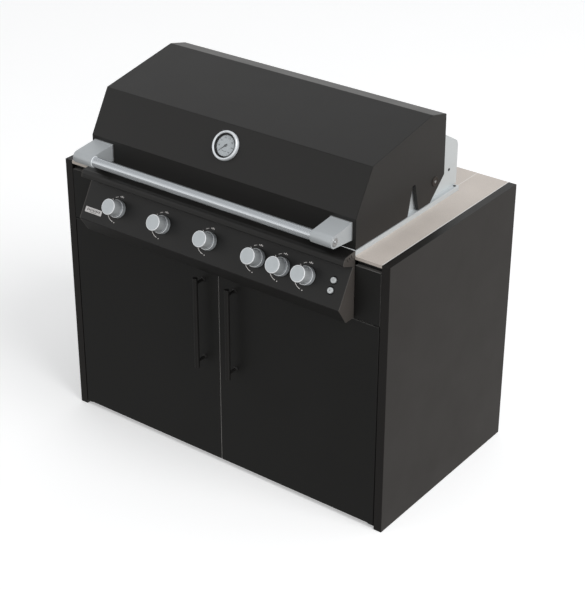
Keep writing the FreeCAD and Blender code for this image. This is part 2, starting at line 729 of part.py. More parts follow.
caps = []
for sx in (-1, 1):
    lo, hi = (cap_in, d.grill_half) if sx > 0 else (-d.grill_half, -cap_in)
    pts = [(2, d.panel_bottom), (2, rim_top + 1), (-49, rim_top - 4), (-55, 889), (d.face_y, d.face_z),
           (nose_y, nose_z), (-38, d.panel_bottom)]
    b, f, y0, z0 = section_body("end_cap", pts, lo, hi)
    f = round_edges(b, f, 15, [(-49 - y0, rim_top.v - 4 - z0)])
    f = round_edges(b, f, 4, [(-55 - y0, 889 - z0), (nose_y.v - y0, nose_z.v - z0)])
    tools = []
    for sy, sz in ((-14, 898), (-23.5, 895.5), (-33, 893)):
        o = doc.addObject("Part::Box", name("cap_slot"))
        o.Length, o.Width, o.Height = 6, 2.6, 12
        lo_x = (cap_in - 2) if sx > 0 else -(d.grill_half + 2)
        place(o, lo_x, sy, sz, FreeCAD.Rotation(V(1, 0, 0), 24))
        tools.append(o)
    caps.append(cut("end_cap", b, *tools))
node("panel_end_caps", group("caps", *caps))

bezels = []
for x in knob_xs:
    bezels.append(cut("knob_bezel", face_cylinder("bezel_ring", d.bezel_rad, x, d.knob_u, 0, d.bezel_high),
                      face_cylinder("bezel_recess", d.bezel_bore, x, d.knob_u, 0.6, d.bezel_high + 1),
                      face_cylinder("bezel_hole", 7, x, d.knob_u, -1, 2)))
node("knob_bezels", group("bezels", *bezels))

node("badge_plate", face_box("badge", -484, -416.5, 89.5, 107, 0, 1.2))

# gas side, behind the panel
node("gas_manifold", fuse("manifold",
                          cylinder_x("manifold_pipe", 9, -484, 400, 14, 779),
                          cylinder_y("supply_pipe", 8, 14, 60, -484, 779)))
node("gas_inlet", fuse("inlet",
                       cylinder_y("inlet_hex", 12, 60, 72, -484, 779),
                       cylinder_y("inlet_neck", 6.5, 72, 76, -484, 779),
                       cylinder_y("inlet_thread", d.inlet_rad, 76, 76 + d.inlet_len, -484, 779)))
valves = []
for x in knob_xs:
    valves.append(cut("valve", face_cylinder("valve_body", 12, x, d.knob_u, -52, -8),
                      face_cylinder("valve_bore", d.stem_bore, x, d.knob_u, -30, -7)))
pipe_clear = cylinder_x("pipe_space", 9, -484, 400, 14, 779)
node("gas_valves", cut("valves", group("valve_row", *valves), pipe_clear))
node("ignition_module", face_box("module", 428, 471, 40, 97, -42, -12))

# valve stems and knobs
for k, x in enumerate(knob_xs, start=1):
    shaft = face_cylinder("stem", d.stem_rad, x, d.knob_u, -28, 30)
    flat = face_box("stem_flat", x - 5, x + 5, d.knob_u - 6, d.knob_u - 2.8, -3, 31)
    node("valve_stem_%d" % k, cut("stem", shaft, flat))
    kb, f = turned_body("knob", [(0, 0), (d.knob_rad - 0.8, 0), (d.knob_rad, 0.8),
                                 (d.knob_rad, d.knob_top - d.knob_base - 2.5),
                                 (d.knob_rad - 2.5, d.knob_top - d.knob_base),
                                 (0, d.knob_top - d.knob_base)])
    on_face(kb, x, d.knob_u, d.knob_base)
    bore = cut("knob_bore", face_cylinder("bore", d.stem_bore, x, d.knob_u, 4, 36),
               face_box("bore_flat", x - 5, x + 5, d.knob_u - 7, d.knob_u - 2.85, 3, 37))
    mark = face_box("knob_mark", x - 1.1, x + 1.1, d.knob_u - d.knob_rad + 3, d.knob_u - 9,
                    d.knob_top - 0.8, d.knob_top + 1)
    node("knob_%d" % k, cut("knob", kb, bore, mark))

for label, u in (("button_ignition", button_us[0]), ("button_light", button_us[1])):
    bb, f = turned_body("button", [(0, 0), (d.button_rad, 0), (d.button_rad, 11), (d.button_rad - 1, 12), (0, 12)])
    on_face(bb, d.button_x, u, -6)
    node(label, bb)

# grease tray: hangs by its flanges on the runners under the firebox
b = body("grease_tray")
s = sketch_on(b, "XY_Plane", "tray_outline")
polygon(s, [(0, 0), (360, 0), (360, 455), (0, 455)])
f = pad(b, s, 34)
doc.recompute()
place(b, -180, 25, 656)
tray_block = b
hollow = box("tray_hollow", -178.5, 178.5, 26.5, 478.5, 657.5, 700)
flange_l = box("tray_flange", -196, -180, 40, 480, 689, 690)
flange_r = box("tray_flange", 180, 196, 40, 480, 689, 690)
node("grease_tray", fuse("tray", cut("tray", tray_block, hollow), flange_l, flange_r))

# ----------------------------------------------------------------------- lid
slope_y = d.lid_front + d.slope_len * sin(d.slope_tilt)
slope_z = d.lid_fold + d.slope_len * cos(d.slope_tilt)
skin_half = d.lid_half - d.lid_sheet
skin_pts = [(d.lid_front, d.lid_low), (d.lid_front, d.lid_fold), (slope_y, slope_z),
            (d.lid_ridge_y, d.lid_ridge_z), (d.lid_rear_y, d.lid_rear_z), (d.lid_rear_y + 1, d.lid_lip_z)]
b, f, y0, z0 = section_body("lid_skin", skin_pts, -skin_half, skin_half, d.lid_sheet, -1)
f = round_edges(b, f, 3, [(d.lid_front.v - y0, d.lid_fold.v - z0), (slope_y.v - y0, slope_z.v - z0),
                          (d.lid_ridge_y.v - y0, d.lid_ridge_z.v - z0), (d.lid_rear_y.v - y0, d.lid_rear_z.v - z0)])

GAUGE_ROT = FreeCAD.Rotation(V(1, 0, 0), 90 - d.slope_tilt.v)


def on_slope(obj, x, u, w):
    """Put obj on the lid's front slope: u up the slope, w out of it."""
    u, w = Q.of(u), Q.of(w)
    return place(obj, x, d.lid_front + u * sin(d.slope_tilt) - w * cos(d.slope_tilt),
                 d.lid_fold + u * cos(d.slope_tilt) + w * sin(d.slope_tilt), GAUGE_ROT, 90 - d.slope_tilt)


def slope_cylinder(stem, radius, w0, w1):
    o = doc.addObject("Part::Cylinder", name(stem))
    o.Radius, o.Height = Q.of(radius).v, (Q.of(w1) - Q.of(w0)).v
    bind(o, "Radius", radius)
    bind(o, "Height", Q.of(w1) - Q.of(w0))
    return on_slope(o, 0, d.gauge_u, w0)


node("lid_skin", cut("skin", b, slope_cylinder("probe_hole", 6, -6, 4)))

liner_pts = [(19, 925), (18.5, 1008), (slope_y + 8, slope_z - 13), (385, 1182.5), (441, 1168.5)]
b, f, y0, z0 = section_body("lid_liner", liner_pts, -skin_half, skin_half, 1.2, -1)
node("lid_liner", cut("liner", b, slope_cylinder("probe_hole", 6, -40, -3)))

for sx in (-1, 1):
    tag = "left" if sx < 0 else "right"
    cheek_pts = [(d.lid_front, d.lid_low), (d.lid_front, d.lid_fold), (slope_y, slope_z),
                 (d.lid_ridge_y, d.lid_ridge_z), (d.lid_rear_y, d.lid_rear_z), (460, 985), (387, d.lid_low),
                 (325, d.lid_low), (302, 1010), (289, 1008), (267, d.lid_low)]
    lo, hi = (skin_half, d.lid_half) if sx > 0 else (-d.lid_half, -skin_half)
    b, f, y0, z0 = section_body("cheek", cheek_pts, lo, hi)
    f = round_edges(b, f, 3, [(d.lid_front.v - y0, d.lid_fold.v - z0), (slope_y.v - y0, slope_z.v - z0),
                              (d.lid_ridge_y.v - y0, d.lid_ridge_z.v - z0),
                              (d.lid_rear_y.v - y0, d.lid_rear_z.v - z0), (460 - y0, 985 - z0)])
    f = round_edges(b, f, 4, [(302 - y0, 1010 - z0), (289 - y0, 1008 - z0)])
    # return flange round the slot, folded inwards
    lo, hi = (skin_half - d.slot_flange, skin_half) if sx > 0 else (-skin_half, -(skin_half - d.slot_flange))
    lip, g, ly0, lz0 = section_body("slot_lip", [(267, d.lid_low), (289, 1008), (302, 1010), (325, d.lid_low)],
                                    lo, hi, 1.5, 1)
    flat = offset_points([(267 - ly0, d.lid_low.v - lz0), (289 - ly0, 1008 - lz0), (302 - ly0, 1010 - lz0),
                          (325 - ly0, d.lid_low.v - lz0)], 1.5, 1, False)
    g = round_edges(lip, g, 4, [(302 - ly0, 1010 - lz0), (289 - ly0, 1008 - lz0)])
    g = round_edges(lip, g, 5.5, [flat[1], flat[2]])
    lo_x = (d.lid_half - 4) if sx > 0 else -(d.lid_half + 2)
    node("lid_cheek_" + tag, fuse("cheek", cut("cheek", b, cylinder_x("hinge_hole", d.hinge_bore, lo_x, lo_x + 6,
                                                                      d.hinge_y, d.hinge_z)), lip))

# handle: a round bar between two tapering posts
node("lid_handle_bar", cylinder_x("bar", d.bar_rad, -d.post_in, d.post_in, d.bar_y, d.bar_z))
posts = []
for sx in (-1, 1):
    lo, hi = (d.post_in, d.post_out) if sx > 0 else (-d.post_out, -d.post_in)
    gy, gz = d.bar_y.v - d.nose_rad.v - ORG, 945 - ORG
    b = body("post")
    s = sketch_on(b, "YZ_Plane", "post_section")
    cy, cz = d.bar_y.v - gy, d.bar_z.v - gz
    by, bt, bl = d.lid_front.v - gy, 1000 - gz, 945 - gz
    r = d.nose_rad.v

    def tangent(py, pz, up):
        dist = math.hypot(py - cy, pz - cz)
        base = math.atan2(pz - cz, py - cy)
        turn = math.acos(r / dist)
        a = base + turn if up else base - turn
        return cy + r * math.cos(a), cz + r * math.sin(a), a

    ty, tz, a_top = tangent(by, bt, True)
    ly, lz, a_low = tangent(by, bl, False)
    s.addGeometry(Part.LineSegment(V(by, bl, 0), V(by, bt, 0)), False)
    s.addGeometry(Part.LineSegment(V(by, bt, 0), V(ty, tz, 0)), False)
    s.addGeometry(Part.ArcOfCircle(Part.Circle(V(cy, cz, 0), V(0, 0, 1), r), a_top, a_low + 2 * math.pi), False)
    s.addGeometry(Part.LineSegment(V(ly, lz, 0), V(by, bl, 0)), False)
    s.addConstraint(Sketcher.Constraint("Coincident", 0, 2, 1, 1))
    s.addConstraint(Sketcher.Constraint("Tangent", 1, 2, 2, 1))
    s.addConstraint(Sketcher.Constraint("Tangent", 2, 2, 3, 1))
    s.addConstraint(Sketcher.Constraint("Coincident", 3, 2, 0, 1))
    pin_point(s, 0, 1, d.lid_front - gy, 945 - gz)
    pin_point(s, 0, 2, d.lid_front - gy, 1000 - gz)
    pin_point(s, 2, 3, d.bar_y - gy, d.bar_z - gz)
    kr = s.addConstraint(Sketcher.Constraint("Radius", 2, r))
    s.setExpression("Constraints[%d]" % kr, d.nose_rad.e)
    pad(b, s, Q.of(hi) - Q.of(lo))
    place(b, lo, gy, gz)
    posts.append(b)
node("lid_handle_posts", group("posts", *posts))

caps = []
for sx in (-1, 1):
    lo, hi = (d.lid_half, d.lid_half + 6) if sx > 0 else (-(d.lid_half + 6), -d.lid_half)
    ro, ri = (d.lid_half - 1, d.lid_half + 3.5) if sx > 0 else (-(d.lid_half + 3.5), -(d.lid_half - 1))
    caps.append(cut("hinge_cap", cylinder_x("cap", 16, lo, hi, d.hinge_y, d.hinge_z),
                    cylinder_x("cap_recess", 8, ro, ri, d.hinge_y, d.hinge_z)))
node("lid_hinge_caps", group("hinge_caps", *caps))

# thermometer: case with probe, dial with centre post, needle, glass
case = cut("gauge_case", slope_cylinder("case_ring", d.gauge_rad, 0, 12),
           slope_cylinder("case_bore", d.gauge_bore, 2, 13))
node("thermometer_case", fuse("gauge_case", case, slope_cylinder("probe", 4, -70, 1)))
node("thermometer_dial", fuse("gauge_dial", slope_cylinder("dial", d.dial_rad, 2, 4),
                              slope_cylinder("dial_post", 1, 3, 7)))
gb = body("needle")
s = sketch_on(gb, "XY_Plane", "needle_outline")
polygon(s, [(10, 10), (18, 11), (46, 11.6), (46, 12.4), (18, 13), (10, 14)])
f = pad(gb, s, 0.8)
# the pointer turns about (20, 12) of its own outline and rests at the dial's low end
lift = Q.of(5)
at = V(0, (d.lid_front + d.gauge_u * sin(d.slope_tilt) - lift * cos(d.slope_tilt) - d.y_mid).v,
       (d.lid_fold + d.gauge_u * cos(d.slope_tilt) + lift * sin(d.slope_tilt)).v)
gb.Placement = FreeCAD.Placement(at, GAUGE_ROT.multiply(FreeCAD.Rotation(V(0, 0, 1), 225))).multiply(
    FreeCAD.Placement(V(-20, -12, 0), FreeCAD.Rotation()))
hub = slope_cylinder("needle_hub", 3.2, 4.6, 6.2)
node("thermometer_needle", cut("needle", fuse("needle", gb, hub), slope_cylinder("needle_bore", 1.05, 4, 8)))
node("thermometer_glass", slope_cylinder("glass", d.gauge_bore, 8.5, 10))

# ------------------------------------------------------------ check and save
doc.recompute()
for o in doc.Objects:
    if "Invalid" in o.State or "Error" in o.State:
        problems.append("%s (%s) is %s" % (o.Name, o.Label, o.State))
for label, o in nodes.items():
    if o.Label != label:
        problems.append("label of %s became %s" % (label, o.Label))
    if o.Shape.isNull():
        problems.append(label + " has no shape")
    elif not o.Shape.isValid():
        problems.append(label + " is not valid")
    elif not o.Shape.Solids:
        problems.append(label + " has no solid")
if problems:
    raise SystemExit("\n".join(problems))
os.makedirs("parts", exist_ok=True)
for label, o in nodes.items():
    o.Shape.exportStep("parts/%s.step" % label)
print(len(nodes), "nodes written")
box_all = Part.makeCompound([o.Shape for o in nodes.values()]).BoundBox
print("box", box_all.XMin, box_all.XMax, box_all.YMin, box_all.YMax, box_all.ZMin, box_all.ZMax)
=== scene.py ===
"""Looks of a built-in gas barbecue grill in its outdoor cabinet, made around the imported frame."""

import json
import math

import bmesh
import bpy
from mathutils import Matrix, Vector


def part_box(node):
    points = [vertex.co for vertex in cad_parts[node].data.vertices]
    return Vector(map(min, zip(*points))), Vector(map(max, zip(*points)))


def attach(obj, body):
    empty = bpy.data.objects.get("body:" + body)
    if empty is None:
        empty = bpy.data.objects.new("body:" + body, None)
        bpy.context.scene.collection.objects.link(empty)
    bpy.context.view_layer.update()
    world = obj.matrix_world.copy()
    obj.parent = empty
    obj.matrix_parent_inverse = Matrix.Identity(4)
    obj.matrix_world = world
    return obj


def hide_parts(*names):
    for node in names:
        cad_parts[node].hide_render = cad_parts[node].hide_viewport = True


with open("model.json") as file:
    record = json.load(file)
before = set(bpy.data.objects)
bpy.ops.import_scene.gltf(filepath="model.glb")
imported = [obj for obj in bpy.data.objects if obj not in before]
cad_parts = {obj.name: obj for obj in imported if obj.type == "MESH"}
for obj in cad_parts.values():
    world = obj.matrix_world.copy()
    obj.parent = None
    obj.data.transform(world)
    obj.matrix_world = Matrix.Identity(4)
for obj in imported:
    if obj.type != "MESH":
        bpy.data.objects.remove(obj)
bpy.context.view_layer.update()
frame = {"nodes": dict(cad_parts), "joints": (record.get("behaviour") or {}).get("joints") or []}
NODES = frame["nodes"]

MM = 0.001
SCENE = bpy.context.scene
SCENE.view_settings.view_transform = "Standard"
SCENE.view_settings.look = "None"
SCENE.view_settings.exposure = 0.0
SCENE.view_settings.gamma = 1.0

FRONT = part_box("side_panel_right")[0].y / MM  # the cabinet's front plane, in mm


def at(x, y, z):
    """A point given in mm, with y measured back from the cabinet's front plane."""
    return Vector((x * MM, (FRONT + y) * MM, z * MM))


# ------------------------------------------------------------------ materials
def material(name, **sockets):
    m = bpy.data.materials.new(name)
    m.use_nodes = True
    nt = m.node_tree
    for n in list(nt.nodes):
        nt.nodes.remove(n)
    out = nt.nodes.new("ShaderNodeOutputMaterial")
    bsdf = nt.nodes.new("ShaderNodeBsdfPrincipled")
    nt.links.new(bsdf.outputs[0], out.inputs["Surface"])
    for key, value in sockets.items():
        bsdf.inputs[key.replace("_", " ")].default_value = value
    return m, nt, bsdf


def coords(nt, scale=(1, 1, 1), turn=(0, 0, 0)):
    tc = nt.nodes.new("ShaderNodeTexCoord")
    mp = nt.nodes.new("ShaderNodeMapping")
    mp.inputs["Scale"].default_value = scale
    mp.inputs["Rotation"].default_value = turn
    nt.links.new(tc.outputs["Object"], mp.inputs["Vector"])
    return mp.outputs[0]


def noise(nt, vector, scale, detail=2.0, rough=0.5, distortion=0.0):
    n = nt.nodes.new("ShaderNodeTexNoise")
    n.inputs["Scale"].default_value = scale
    n.inputs["Detail"].default_value = detail
    n.inputs["Roughness"].default_value = rough
    n.inputs["Distortion"].default_value = distortion
    nt.links.new(vector, n.inputs["Vector"])
    return n.outputs["Fac"]


def ramp(nt, value, stops):
    r = nt.nodes.new("ShaderNodeValToRGB")
    els = r.color_ramp.elements
    els[0].position, els[0].color = stops[0][0], (*stops[0][1], 1)
    els[1].position, els[1].color = stops[-1][0], (*stops[-1][1], 1)
    for pos, col in stops[1:-1]:
        e = els.new(pos)
        e.color = (*col, 1)
    nt.links.new(value, r.inputs["Fac"])
    return r.outputs["Color"]


def spread(nt, value, low, high, a=0.25, b=0.75):
    r = nt.nodes.new("ShaderNodeMapRange")
    r.inputs["From Min"].default_value = a
    r.inputs["From Max"].default_value = b
    r.inputs["To Min"].default_value = low
    r.inputs["To Max"].default_value = high
    nt.links.new(value, r.inputs["Value"])
    return r.outputs["Result"]


def bump(nt, bsdf, height, strength, distance, below=None):
    b = nt.nodes.new("ShaderNodeBump")
    b.inputs["Strength"].default_value = strength
    b.inputs["Distance"].default_value = distance
    nt.links.new(height, b.inputs["Height"])
    if below is not None:
        nt.links.new(below, b.inputs["Normal"])
    nt.links.new(b.outputs[0], bsdf.inputs["Normal"])
    return b.outputs[0]


def shade(colour, k):
    return tuple(min(1.0, c * k) for c in colour)


def coated(name, colour, rough=(0.42, 0.52), level=0.16, grain=1400.0, depth=0.00012, strength=0.25, cloud=7.0,
           swing=0.10):
    """Powder coat, laminate or paint: a fine orange-peel or grain, and a slow drift of tone and gloss."""
    m, nt, bsdf = material(name, Specular_IOR_Level=level)
    v = coords(nt)
    slow = noise(nt, v, cloud, 3.0, 0.55)
    fine = noise(nt, v, grain, 2.0, 0.6)
    mid = noise(nt, v, grain * 0.22, 2.0, 0.5)
    mix = nt.nodes.new("ShaderNodeMath")
    mix.operation = "MULTIPLY_ADD"
    mix.inputs[1].default_value = 0.55
    nt.links.new(fine, mix.inputs[0])
    half = nt.nodes.new("ShaderNodeMath")
    half.operation = "MULTIPLY"
    half.inputs[1].default_value = 0.45
    nt.links.new(slow, half.inputs[0])
    nt.links.new(half.outputs[0], mix.inputs[2])
    nt.links.new(ramp(nt, mix.outputs[0], [(0.3, shade(colour, 1 - swing)), (0.7, shade(colour, 1 + swing))]),
                 bsdf.inputs["Base Color"])
    nt.links.new(spread(nt, slow, rough[0], rough[1]), bsdf.inputs["Roughness"])
    first = bump(nt, bsdf, mid, strength * 0.5, depth * 2)
    bump(nt, bsdf, fine, strength, depth, first)
    return m


def brushed(name, colour, along="X", rough=(0.26, 0.36), strength=0.12, depth=0.00004, fine=900.0, swing=0.06,
            metallic=1.0):
    """Brushed or drawn metal: streaks much longer along one axis than across it."""
    m, nt, bsdf = material(name, Metallic=metallic)
    scale = {"X": (0.012, 1, 1), "Y": (1, 0.012, 1), "Z": (1, 1, 0.012)}[along]
    streak = noise(nt, coords(nt, scale), fine, 3.0, 0.6)
    slow = noise(nt, coords(nt, tuple(min(1.0, s * 20) for s in scale)), 14.0, 3.0, 0.5)
    nt.links.new(ramp(nt, streak, [(0.3, shade(colour, 1 - swing)), (0.7, shade(colour, 1 + swing))]),
                 bsdf.inputs["Base Color"])
    total = nt.nodes.new("ShaderNodeMath")
    total.operation = "ADD"
    nt.links.new(spread(nt, streak, -0.03, 0.03), total.inputs[0])
    nt.links.new(spread(nt, slow, rough[0], rough[1]), total.inputs[1])
    nt.links.new(total.outputs[0], bsdf.inputs["Roughness"])
    bump(nt, bsdf, streak, strength, depth)
    return m


def polished(name, colour, rough=(0.1, 0.18), strength=0.03, metallic=1.0):
    m, nt, bsdf = material(name, Metallic=metallic)
    v = coords(nt)
    slow = noise(nt, v, 60.0, 3.0, 0.5)
    fine = noise(nt, v, 2200.0, 2.0, 0.5)
    nt.links.new(ramp(nt, slow, [(0.3, shade(colour, 0.97)), (0.7, shade(colour, 1.03))]), bsdf.inputs["Base Color"])
    nt.links.new(spread(nt, slow, rough[0], rough[1]), bsdf.inputs["Roughness"])
    bump(nt, bsdf, fine, strength, 0.00003)
    return m


def cast(name, colour, rough=(0.55, 0.75), grain=420.0, strength=0.5, depth=0.0004, metallic=0.0, level=0.3):
    m, nt, bsdf = material(name, Metallic=metallic, Specular_IOR_Level=level)
    v = coords(nt)
    slow = noise(nt, v, 18.0, 4.0, 0.6)
    fine = noise(nt, v, grain, 4.0, 0.65)
    nt.links.new(ramp(nt, slow, [(0.3, shade(colour, 0.8)), (0.7, shade(colour, 1.25))]), bsdf.inputs["Base Color"])
    nt.links.new(spread(nt, fine, rough[0], rough[1]), bsdf.inputs["Roughness"])
    bump(nt, bsdf, fine, strength, depth)
    return m


def stone(name, colour):
    """Fine-grained sintered stone: a soft cloud, a dense pale and dark speck, and a faint tooth."""
    m, nt, bsdf = material(name, Specular_IOR_Level=0.35)
    v = coords(nt)
    cloud = noise(nt, v, 9.0, 4.0, 0.6)
    speck = noise(nt, v, 1300.0, 2.0, 0.7)
    coarse = noise(nt, v, 320.0, 3.0, 0.7)
    base = ramp(nt, cloud, [(0.3, shade(colour, 0.965)), (0.7, shade(colour, 1.035))])
    grains = ramp(nt, speck, [(0.30, (0.80, 0.79, 0.78)), (0.48, (1.0, 1.0, 1.0)), (0.60, (1.0, 1.0, 1.0)),
                              (0.74, (1.14, 1.13, 1.12))])
    blots = ramp(nt, coarse, [(0.32, (0.93, 0.925, 0.92)), (0.5, (1.0, 1.0, 1.0)), (0.7, (1.05, 1.05, 1.05))])
    one = nt.nodes.new("ShaderNodeMix")
    one.data_type, one.blend_type = "RGBA", "MULTIPLY"
    one.inputs[0].default_value = 1.0
    nt.links.new(base, one.inputs[6])
    nt.links.new(grains, one.inputs[7])
    two = nt.nodes.new("ShaderNodeMix")
    two.data_type, two.blend_type = "RGBA", "MULTIPLY"
    two.inputs[0].default_value = 1.0
    nt.links.new(one.outputs[2], two.inputs[6])
    nt.links.new(blots, two.inputs[7])
    nt.links.new(two.outputs[2], bsdf.inputs["Base Color"])
    nt.links.new(spread(nt, coarse, 0.42, 0.56), bsdf.inputs["Roughness"])
    bump(nt, bsdf, speck, 0.18, 0.00008)
    return m


def honeycomb(name, colour):
    m, nt, bsdf = material(name, Specular_IOR_Level=0.2)
    v = coords(nt)
    cells = nt.nodes.new("ShaderNodeTexVoronoi")
    cells.feature = "F1"
    cells.inputs["Scale"].default_value = 330.0
    cells.inputs["Randomness"].default_value = 0.15
    nt.links.new(v, cells.inputs["Vector"])
    dist = cells.outputs["Distance"]
    slow = noise(nt, v, 30.0, 3.0, 0.5)
    # a dark spot at each cell's centre: painted shade of the tile's holes
    nt.links.new(ramp(nt, dist, [(0.16, shade(colour, 0.12)), (0.34, colour)]), bsdf.inputs["Base Color"])
    nt.links.new(spread(nt, slow, 0.7, 0.9), bsdf.inputs["Roughness"])
    bump(nt, bsdf, dist, 0.6, 0.0006)
    return m


def pane(name):
    """A thin clear lens: see-through, with its gloss from the shader."""
    m, nt, bsdf = material(name, Alpha=0.12, Specular_IOR_Level=0.5)
    v = coords(nt)
    smear = noise(nt, v, 90.0, 3.0, 0.6)
    nt.links.new(ramp(nt, smear, [(0.3, (0.030, 0.034, 0.036)), (0.7, (0.055, 0.060, 0.062))]), bsdf.inputs["Base Color"])
    nt.links.new(spread(nt, smear, 0.02, 0.06), bsdf.inputs["Roughness"])
    bump(nt, bsdf, smear, 0.02, 0.0001)
    return m


MAT = {
    "board": coated("laminate_black", (0.0080, 0.0078, 0.0072), (0.42, 0.52), 0.37, 1700.0, 0.00010, 0.30, 5.0, 0.16),
    # the side panels' copy of the black laminate, browner and glossier than the doors': painted light of the lit sides
    "board_lit_side_copy": coated("laminate_black_lit_side_copy", (0.0080, 0.0066, 0.0058), (0.40, 0.50), 0.42, 1700.0, 0.00010, 0.30,
                         5.0, 0.16),
    "lid": coated("powder_coat_lid", (0.0105, 0.0098, 0.0090), (0.36, 0.44), 0.38, 1300.0, 0.00014, 0.30, 6.0, 0.12),
    "panel": coated("powder_coat_panel", (0.0075, 0.0070, 0.0064), (0.38, 0.46), 0.40, 1400.0, 0.00012, 0.28, 8.0,
                    0.12),
    "end_cap": coated("end_cap_moulded", (0.0680, 0.0610, 0.0560), (0.36, 0.44), 0.50, 1600.0, 0.00010, 0.25, 12.0,
                      0.12),
    "bar_black": coated("bar_black_coat", (0.0110, 0.0105, 0.0100), (0.40, 0.50), 0.35, 1500.0, 0.00010, 0.25, 20.0,
                        0.12),
    # near-black frame colour: painted shade of the gap under the worktop, where the frame shows
    "frame": coated("frame_black_painted_gap_shade", (0.004, 0.004, 0.004), (0.40, 0.50), 0.50, 1400.0, 0.00012, 0.28, 8.0, 0.10),
    "stone": stone("worktop_stone", (0.585, 0.530, 0.484)),
    "steel_x": brushed("stainless_brushed_x", (0.60, 0.63, 0.645), "X", (0.36, 0.44), 0.08, 0.00003, 900.0, 0.04, 0.30),
    "steel_y": brushed("stainless_brushed_y", (0.60, 0.63, 0.64), "Y", (0.38, 0.46), 0.08, 0.00003, 900.0, 0.03, 0.25),
    "steel_z": brushed("stainless_brushed_z", (0.50, 0.515, 0.525), "Z", (0.27, 0.35), 0.08, 0.00003, 900.0, 0.04,
                       0.8),
    "bar": brushed("handle_bar_brushed", (0.66, 0.69, 0.72), "X", (0.25, 0.28), 0.012, 0.00001, 2600.0, 0.02, 0.85),
    "post": brushed("handle_post_satin", (0.47, 0.495, 0.51), "Y", (0.36, 0.44), 0.06, 0.00002, 1100.0, 0.03, 0.25),
    "inner": brushed("steel_inner", (0.42, 0.41, 0.39), "X", (0.34, 0.48), 0.2, 0.00006, 700.0, 0.12),
    "chrome": polished("satin_chrome", (0.80, 0.83, 0.855), (0.28, 0.34), 0.02, 0.20),
    "knob_side": polished("knob_side_chrome", (0.72, 0.755, 0.78), (0.18, 0.22), 0.02, 0.45),
    "bezel_side": polished("bezel_satin", (0.62, 0.66, 0.69), (0.28, 0.34), 0.02, 0.30),
    # near-white, almost without metal: a painted highlight for the thin bright edges and rings
    "painted_highlight_white": polished("painted_highlight_near_white", (0.93, 0.95, 0.97), (0.25, 0.32), 0.02, 0.05),
    "knob_face": polished("knob_face_spun", (0.55, 0.585, 0.605), (0.30, 0.36), 0.02, 0.45),
    "bright": polished("bright_chrome", (0.80, 0.83, 0.86), (0.22, 0.28), 0.02, 0.25),
    "dark_mark": coated("mark_black", (0.010, 0.010, 0.011), (0.4, 0.5), 0.3, 1800.0, 0.00006, 0.2, 30.0, 0.15),
    "print": coated("print_white", (0.80, 0.77, 0.75), (0.5, 0.6), 0.3, 2200.0, 0.00004, 0.2, 50.0, 0.08),
    "iron": cast("cast_iron", (0.022, 0.021, 0.020), (0.5, 0.72), 420.0, 0.55, 0.00045),
    "brass": polished("brass", (0.62, 0.46, 0.22), (0.22, 0.34)),
    "alu": brushed("frame_aluminium", (0.46, 0.46, 0.45), "X", (0.36, 0.46), 0.15, 0.00005, 600.0, 0.05),
    "foot": cast("foot_plastic", (0.016, 0.016, 0.017), (0.45, 0.6), 900.0, 0.2, 0.0001, 0.0, 0.4),
    "plastic": cast("module_plastic", (0.030, 0.031, 0.033), (0.4, 0.55), 1100.0, 0.2, 0.0001, 0.0, 0.4),
    "hinge": coated("hinge_cap_brown_black", (0.030, 0.024, 0.020), (0.45, 0.55), 0.25, 1500.0, 0.00008, 0.2, 30.0,
                    0.1),
    "button": coated("button_satin", (0.55, 0.57, 0.58), (0.28, 0.36), 0.5, 1600.0, 0.00006, 0.15, 40.0, 0.04),
    "badge": brushed("badge_aluminium", (0.56, 0.545, 0.54), "X", (0.30, 0.38), 0.12, 0.00003, 1400.0, 0.05),
    "dial": coated("dial_face", (0.74, 0.79, 0.82), (0.5, 0.6), 0.4, 1800.0, 0.00003, 0.1, 30.0, 0.03),
    "dial_ink": coated("dial_ink", (0.020, 0.022, 0.025), (0.5, 0.6), 0.3, 1800.0, 0.00003, 0.1, 30.0, 0.1),
    "gauge_well": coated("gauge_well_black", (0.006, 0.006, 0.006), (0.40, 0.50), 0.2, 1500.0, 0.00005, 0.2, 30.0,
                         0.1),
    # pale bead colour: a painted highlight along the worktop's joints
    "pale_joint_highlight": coated("painted_joint_highlight_pale", (0.74, 0.72, 0.70), (0.4, 0.5), 0.4, 900.0, 0.00008, 0.2, 60.0, 0.05),
    # pale and grey strip colours: painted highlights of the board edges in the gaps; the grey one also prints the
    # button marks
    "painted_edge_highlight_pale": coated("pale_painted_edge_highlight", (0.42, 0.41, 0.40), (0.45, 0.55), 0.4, 1500.0, 0.00006, 0.2, 60.0, 0.08),
    "grey_print_and_edge_highlight": coated("grey_print_and_painted_edge_highlight", (0.17, 0.165, 0.16), (0.45, 0.55), 0.4, 1500.0, 0.00006, 0.2, 60.0, 0.08),
    "glass": pane("gauge_glass"),
    "ceramic": honeycomb("burner_ceramic", (0.62, 0.56, 0.47)),
    "screw": polished("screw_steel", (0.50, 0.51, 0.52), (0.18, 0.28)),
    "screw_black": polished("screw_black_zinc", (0.020, 0.020, 0.021), (0.3, 0.4), 0.05, 0.6),
}


# ------------------------------------------------------------------ mesh tools
def finish_normals(o, bevel=0.0, segments=2, angle=35.0, weld=False):
    if weld:
        w = o.modifiers.new("weld", "WELD")
        w.merge_threshold = 0.00002
    if bevel:
        b = o.modifiers.new("edges", "BEVEL")
        b.width = bevel * MM
        b.segments = segments
        b.limit_method = "ANGLE"
        b.angle_limit = math.radians(angle)
        b.use_clamp_overlap = True
        b.miter_outer = "MITER_ARC"
        if weld:
            # CAD faces are triangulated: flat ones keep their own normal right up to the rounded edge
            b.harden_normals = True
            return
    n = o.modifiers.new("normals", "WEIGHTED_NORMAL")
    n.mode = "FACE_AREA"
    n.weight = 50
    n.keep_sharp = False


